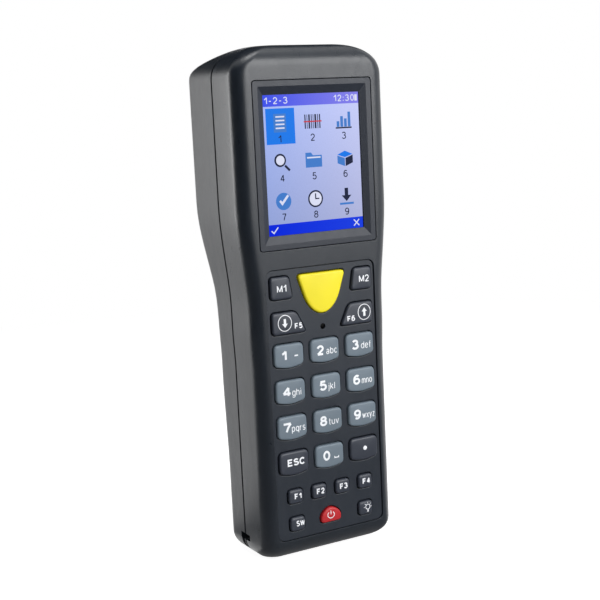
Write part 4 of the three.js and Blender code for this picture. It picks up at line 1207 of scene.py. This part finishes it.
# The icons, each a list of inks and outlines from the lowest layer up: a page, bars,
# a chart, a lens, a folder, a box, a tick, a clock and an arrow
ICONS = [
    [("blue", rectangle(-1.7, -2.2, 1.7, 2.2))]
    + [("white", rectangle(-1.2, z, 1.2, z + 0.35)) for z in (-1.4, -0.5, 0.4, 1.3)],
    [*code_bars(), ("red", rectangle(-2.5, -0.15, 2.5, 0.15))],
    [("ink", rectangle(-2.3, -2.1, 2.3, -1.75))]
    + [("blue", rectangle(x, -1.7, x + 0.75, top))
       for x, top in ((-2, -0.3), (-0.95, 0.9), (0.1, 0.3), (1.15, 1.9))],
    [("ink", loop(-0.4, 0.5, 1.6, 1.6, 24)),
     ("ink", [(0.65, -1), (1.05, -0.6), (2.3, -1.85), (1.9, -2.25)]),
     ("white", loop(-0.4, 0.5, 1.15, 1.15, 24))],
    [("blue", [(-2.3, -1.7), (2.3, -1.7), (2.3, 1.2), (-0.2, 1.2), (-0.7, 1.9), (-2.3, 1.9)]),
     ("white", rectangle(-1.9, 0.5, 1.9, 0.85))],
    [("tile", [(-2.2, 0.9), (0, 0.2), (2.2, 0.9), (0, 1.8)]),
     ("blue", [(-2.2, 0.7), (-2.2, -1.2), (-0.1, -2), (-0.1, 0)]),
     ("ink", [(0.1, 0), (0.1, -2), (2.2, -1.2), (2.2, 0.7)])],
    [("blue", loop(0, 0, 2.1, 2.1, 32)),
     ("white", [(-1.2, 0), (-0.4, -1), (1.5, 1.2), (1.1, 1.6), (-0.4, -0.1), (-0.8, 0.4)])],
    [("ink", loop(0, 0, 2.1, 2.1, 32)), ("white", loop(0, 0, 1.7, 1.7, 32)),
     ("ink", rectangle(-0.15, -0.1, 0.15, 1.3)), ("ink", rectangle(-0.1, -0.15, 1, 0.15))],
    [("ink", [(-0.5, 2), (-0.5, 0.2), (-1.4, 0.2), (0, -1.3), (1.4, 0.2), (0.5, 0.2), (0.5, 2)]),
     ("blue", rectangle(-2, -2.1, 2, -1.6))],
]


def bar_signs():
    """Digits, a clock and a battery mark on the top bar, a tick and a cross on the low one."""
    top = LCD_HEIGHT - BAR_HEIGHT + 0.75
    low = 0.7
    right = LCD_WIDTH
    return (written("1-2-3", 0.6, top, 2.1, 0.28, 1.1, 0.24)
            + written("12:30", right - 9.2, top, 2.1, 0.28, 1, 0.24)
            + [([(1, low + 0.9), (1.8, low + 0.1), (3.4, low + 1.9)], 0.34),
               ([(right - 3.4, low), (right - 1.4, low + 2)], 0.34),
               ([(right - 3.4, low + 2), (right - 1.4, low)], 0.34),
               ([(right - 0.9, top), (right - 0.9, top + 2)], 0.9)])


def screen_picture():
    """The ground, two bars, one chosen tile, nine plain icons and digits."""
    cell_x = LCD_WIDTH / COLUMNS
    cell_z = (LCD_HEIGHT - 2 * BAR_HEIGHT) / ROWS
    right = LCD_WIDTH + EDGE
    top = LCD_HEIGHT + EDGE
    below_bar = LCD_HEIGHT - BAR_HEIGHT
    made = [screen_piece("screen_" + name, look, level, [rectangle(*corners)])
            for name, look, level, corners in (
                ("ground", lit("screen_ground", (162, 180, 238), (194, 200, 242), 0.17), 1,
                 (-EDGE, -EDGE, right, top)),
                ("bar_low", lit("screen_bar_low", (0, 38, 226), (26, 64, 232)), 2,
                 (-EDGE, -EDGE, right, BAR_HEIGHT)),
                ("bar_top", lit("screen_bar_top", (56, 80, 240), (136, 132, 240)), 2,
                 (-EDGE, below_bar, right, top)),
                ("tile", INKS["tile"], 2,
                 (0.9, below_bar - cell_z + 0.5, cell_x - 0.5, below_bar - 0.6)))]
    layers = {}
    digits = []
    for i, icon in enumerate(ICONS):
        x = cell_x * (i % COLUMNS + 0.5)
        z = below_bar - cell_z * (i // COLUMNS + 0.42)
        for order, (ink, outline) in enumerate(icon):
            placed = [(x + px * ICON_SCALE, z + pz * ICON_SCALE) for px, pz in outline]
            layers.setdefault((ink, 3 + order), []).append(placed)
        digits += written(str(i + 1), x - 0.8, z - DIGIT_DROP, 2.3, 0.3)
    for (ink, level), outlines in sorted(layers.items()):
        made.append(screen_piece(f"screen_{ink}_{level}", INKS[ink], level, outlines))
    return made + [screen_piece("screen_labels", INKS["ink"], 3, (), digits),
                   screen_piece("screen_signs", INKS["white"], 3, (), bar_signs())]


# Building the pieces


def dress(piece, look, material_slot, replaced, body="case"):
    """Smooths a piece, gives it its material and hangs it on its body for a node."""
    polish(piece)
    piece.data.materials.clear()
    piece.data.materials.append(look)
    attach(piece, body)
    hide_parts(replaced)
    return piece


outer, shell = case_shell()
keys = key_layout()
dress(front_shell(outer, shell), case_look, "case_plastic", "front_case")
dress(rear_shell(outer, shell), rear_look, "case_plastic", "rear_case")
dress(battery_door(outer), rear_look, "case_plastic", "battery_cover", "battery_cover")
bpy.data.objects.remove(outer)
bpy.data.objects.remove(shell)
dress(bezel_frame(), bezel_look, "bezel_plastic", "screen_bezel")
dress(keypad_plate(keys), panel_look, "panel_plastic", "keypad_panel")
dress(status_dot(), glossy("smoked_lens", (4, 4, 5), 0.5, 0, 0.05), "lens", "status_lens")
for key in keys:
    body = "key_" + key.name
    cap = dress(key_cap(key), KEY_LOOKS[key.slot], key.slot, body, body)
    if key.name != "scan":
        sign = lay_on(key_sign(key), cap)
        sign.data.materials.append(sign_look)
        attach(sign, body)
screw_look = metal("black_oxide", (74, 74, 78), 0.38, (1, 0.1, 1))
for number, (x, z) in enumerate(CASE_SCREWS, 1):
    dress(case_screw(number, x, z), screw_look, "screw_steel", f"case_screw_{number}")
dress(scan_pane(), glossy("scan_window_red", (74, 12, 16), 0.06, 0.8), "red_window", "scan_window")
dress(socket_shell(), steel_look, "plated_steel", "usb_socket")
dress(strap_rod("strap_bar", 0, STRAP_PIN_SEAT - FIT_GAP), steel_look, "plated_steel", "strap_pin")
dress(battery_pack(), wrapped(), "battery_wrap", "battery")

# The pane carries what the screen shows, a black border round it
pane = slab("screen_pane", screen_outline(PANE_HALF_X, PANE_HALF_Z), PICTURE_DEPTH,
            PANE_DEPTH + PANE_THICKNESS)
dress(pane, glossy("screen_border", (12, 12, 16), 0.12, 0.3), "window", "display_window")
for piece in screen_picture():
    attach(piece, "case")

# The pieces inside keep their solids, each with its own finish
INSIDE_LOOKS = {
    "display_gasket": rubbery("foam", (34, 34, 34), 0.9, 0.35, 0.12),
    "keymat": rubbery("silicone", (150, 150, 152), 0.6, 0.5, 0.02),
    "lcd_holder": moulded("white_moulding", (214, 214, 210), 0.45, 0.4, 0.01),
    "main_board": circuit(),
}
for name in ("lcd_module", "buzzer", "scan_engine", "battery_contacts"):
    INSIDE_LOOKS[name] = black_look
for name in ("dome_sheet", "radio_module", "scan_bracket",
             *(f"board_screw_{number}" for number in range(1, 5))):
    INSIDE_LOOKS[name] = steel_look
for name, look in INSIDE_LOOKS.items():
    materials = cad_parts[name].data.materials
    materials.clear()
    materials.append(look)

# Floor, dark cards, light and camera, in metres

FLOOR_SPAN = 6
FLOOR_Z = -0.0002
CARD_Z = -0.0001
CARD_STEPS = 24
MIDDLE = Vector((0, 0, 0.09))


def empty_tree(owner):
    """A function that adds nodes to the emptied tree of a material or world."""
    owner.use_nodes = True
    owner.node_tree.nodes.clear()
    return partial(new_node, owner.node_tree)


def shows_background(add_node):
    """1 for the rays that see the background: camera, glossy and transmission rays."""
    path = add_node("LightPath", {}).outputs
    either = add_node("Math", {0: path["Is Camera Ray"], 1: path["Is Glossy Ray"]},
                      operation="MAXIMUM")
    return add_node("Math", {0: either, 1: path["Is Transmission Ray"]}, operation="MAXIMUM")


def backdrop_material():
    """White to the rays that see the background, with the object's shadow left in it."""
    material = bpy.data.materials.new("paper")
    add_node = empty_tree(material)
    grey = add_node("BsdfDiffuse", {"Color": (0.5, 0.5, 0.5, 1)})
    near = add_node("AddShader", {0: grey, 1: add_node("Emission", {"Strength": 0.9})})
    place = add_node("TexCoord", {}).outputs["Object"]
    distance = add_node("VectorMath", {0: place}, operation="LENGTH").outputs["Value"]
    far = add_node("MapRange", {"Value": distance, "From Min": 0.2, "From Max": 0.5})
    seen = add_node("MixShader", {0: far, 1: near, 2: add_node("Emission", {})})
    paper = add_node("BsdfDiffuse", {"Color": (0.7, 0.7, 0.7, 1)})
    mix = add_node("MixShader", {0: shows_background(add_node), 1: paper, 2: seen})
    add_node("OutputMaterial", {"Surface": mix})
    return material


def staged(name, points, faces, material):
    mesh = bpy.data.meshes.new(name)
    mesh.from_pydata(points, [], faces)
    piece = make_object(name, mesh)
    piece.data.materials.append(material)
    return piece


def card(name, start, end, profile, glow=0.0):
    """A dark card seen only in the gloss: a strip swept round the object between two
    angles, through (distance, height) points."""
    points = []
    faces = []
    rows = len(profile)
    for i in range(CARD_STEPS + 1):
        angle = math.radians(lerp(start, end, i / CARD_STEPS))
        points += [(-math.sin(angle) * reach, -math.cos(angle) * reach, height)
                   for reach, height in profile]
    for i in range(CARD_STEPS):
        for low in range(rows * i, rows * i + rows - 1):
            faces.append((low, low + 1, low + rows + 1, low + rows))
    material = bpy.data.materials.new("black_card")
    material.use_nodes = True
    feed(material.node_tree.nodes["Principled BSDF"], {
        "Base Color": (0.004, 0.004, 0.004, 1), "Roughness": 1, "Specular IOR Level": 0,
        "Emission Color": (1, 1, 1, 1), "Emission Strength": glow})
    piece = staged(name, points, faces, material)
    for ray in ("camera", "diffuse", "shadow", "transmission"):
        setattr(piece, "visible_" + ray, False)


def area_light(name, place, width, height, power):
    lamp = bpy.data.lights.new(name, "AREA")
    lamp.shape = "RECTANGLE"
    lamp.size = width
    lamp.size_y = height
    lamp.energy = power
    holder = bpy.data.objects.new(name, lamp)
    holder.location = place
    holder.rotation_euler = (MIDDLE - Vector(place)).to_track_quat("-Z", "Y").to_euler()
    bpy.context.scene.collection.objects.link(holder)


corners = [(x, y, 0) for x, y in rectangle(-FLOOR_SPAN, -FLOOR_SPAN, FLOOR_SPAN, FLOOR_SPAN)]
staged("floor", corners, [(0, 1, 2, 3)], backdrop_material()).location.z = FLOOR_Z
card("card_left", 12, 118, [(0.42, 0), (0.42, 0.55)])
card("card_near", -70, 80, [(0.004, CARD_Z), (0.06, CARD_Z)], 0.3)
card("card_floor", -70, 116, [(0.06, CARD_Z), (0.41, CARD_Z)], 0.16)
card("card_low", 80, 128, [(0.033, CARD_Z), (0.09, CARD_Z)], 0.3)
card("card_rear", 140, 235, [(0.5, 0.3), (0.3, 0.5), (0.05, 0.62)])
area_light("rear_left_strip", (-0.4528, 0.3936, 0.15), 0.27, 0.4, 1.8)
area_light("front_right_box", (0.28, -0.72, 0.35), 0.76, 0.46, 6.4)
area_light("top_box", (0.02, -0.1, 0.9), 0.5, 0.4, 3.2)

world = bpy.data.worlds.new("studio")
add_node = empty_tree(world)
dim, white = [add_node("Background", {"Color": (1, 1, 1, 1), "Strength": strength})
              for strength in (0.13, 1)]
mix = add_node("MixShader", {0: shows_background(add_node), 1: dim, 2: white})
add_node("OutputWorld", {"Surface": mix})
bpy.context.scene.world = world

camera = bpy.data.objects.new("camera", bpy.data.cameras.new("camera"))
bpy.context.scene.collection.objects.link(camera)
camera.data.lens = 71.297
camera.data.sensor_width = 36
right = Vector((0.8682526, -0.4938134, -0.0478097))
up = Vector((0.1180746, 0.1120802, 0.9866592))
turn = Matrix((right, up, right.cross(up))).transposed().to_4x4()
camera.matrix_world = Matrix.Translation((-0.190571, -0.343900, 0.145066)) @ turn
bpy.context.scene.camera = camera
bpy.context.scene.view_settings.view_transform = "Standard"
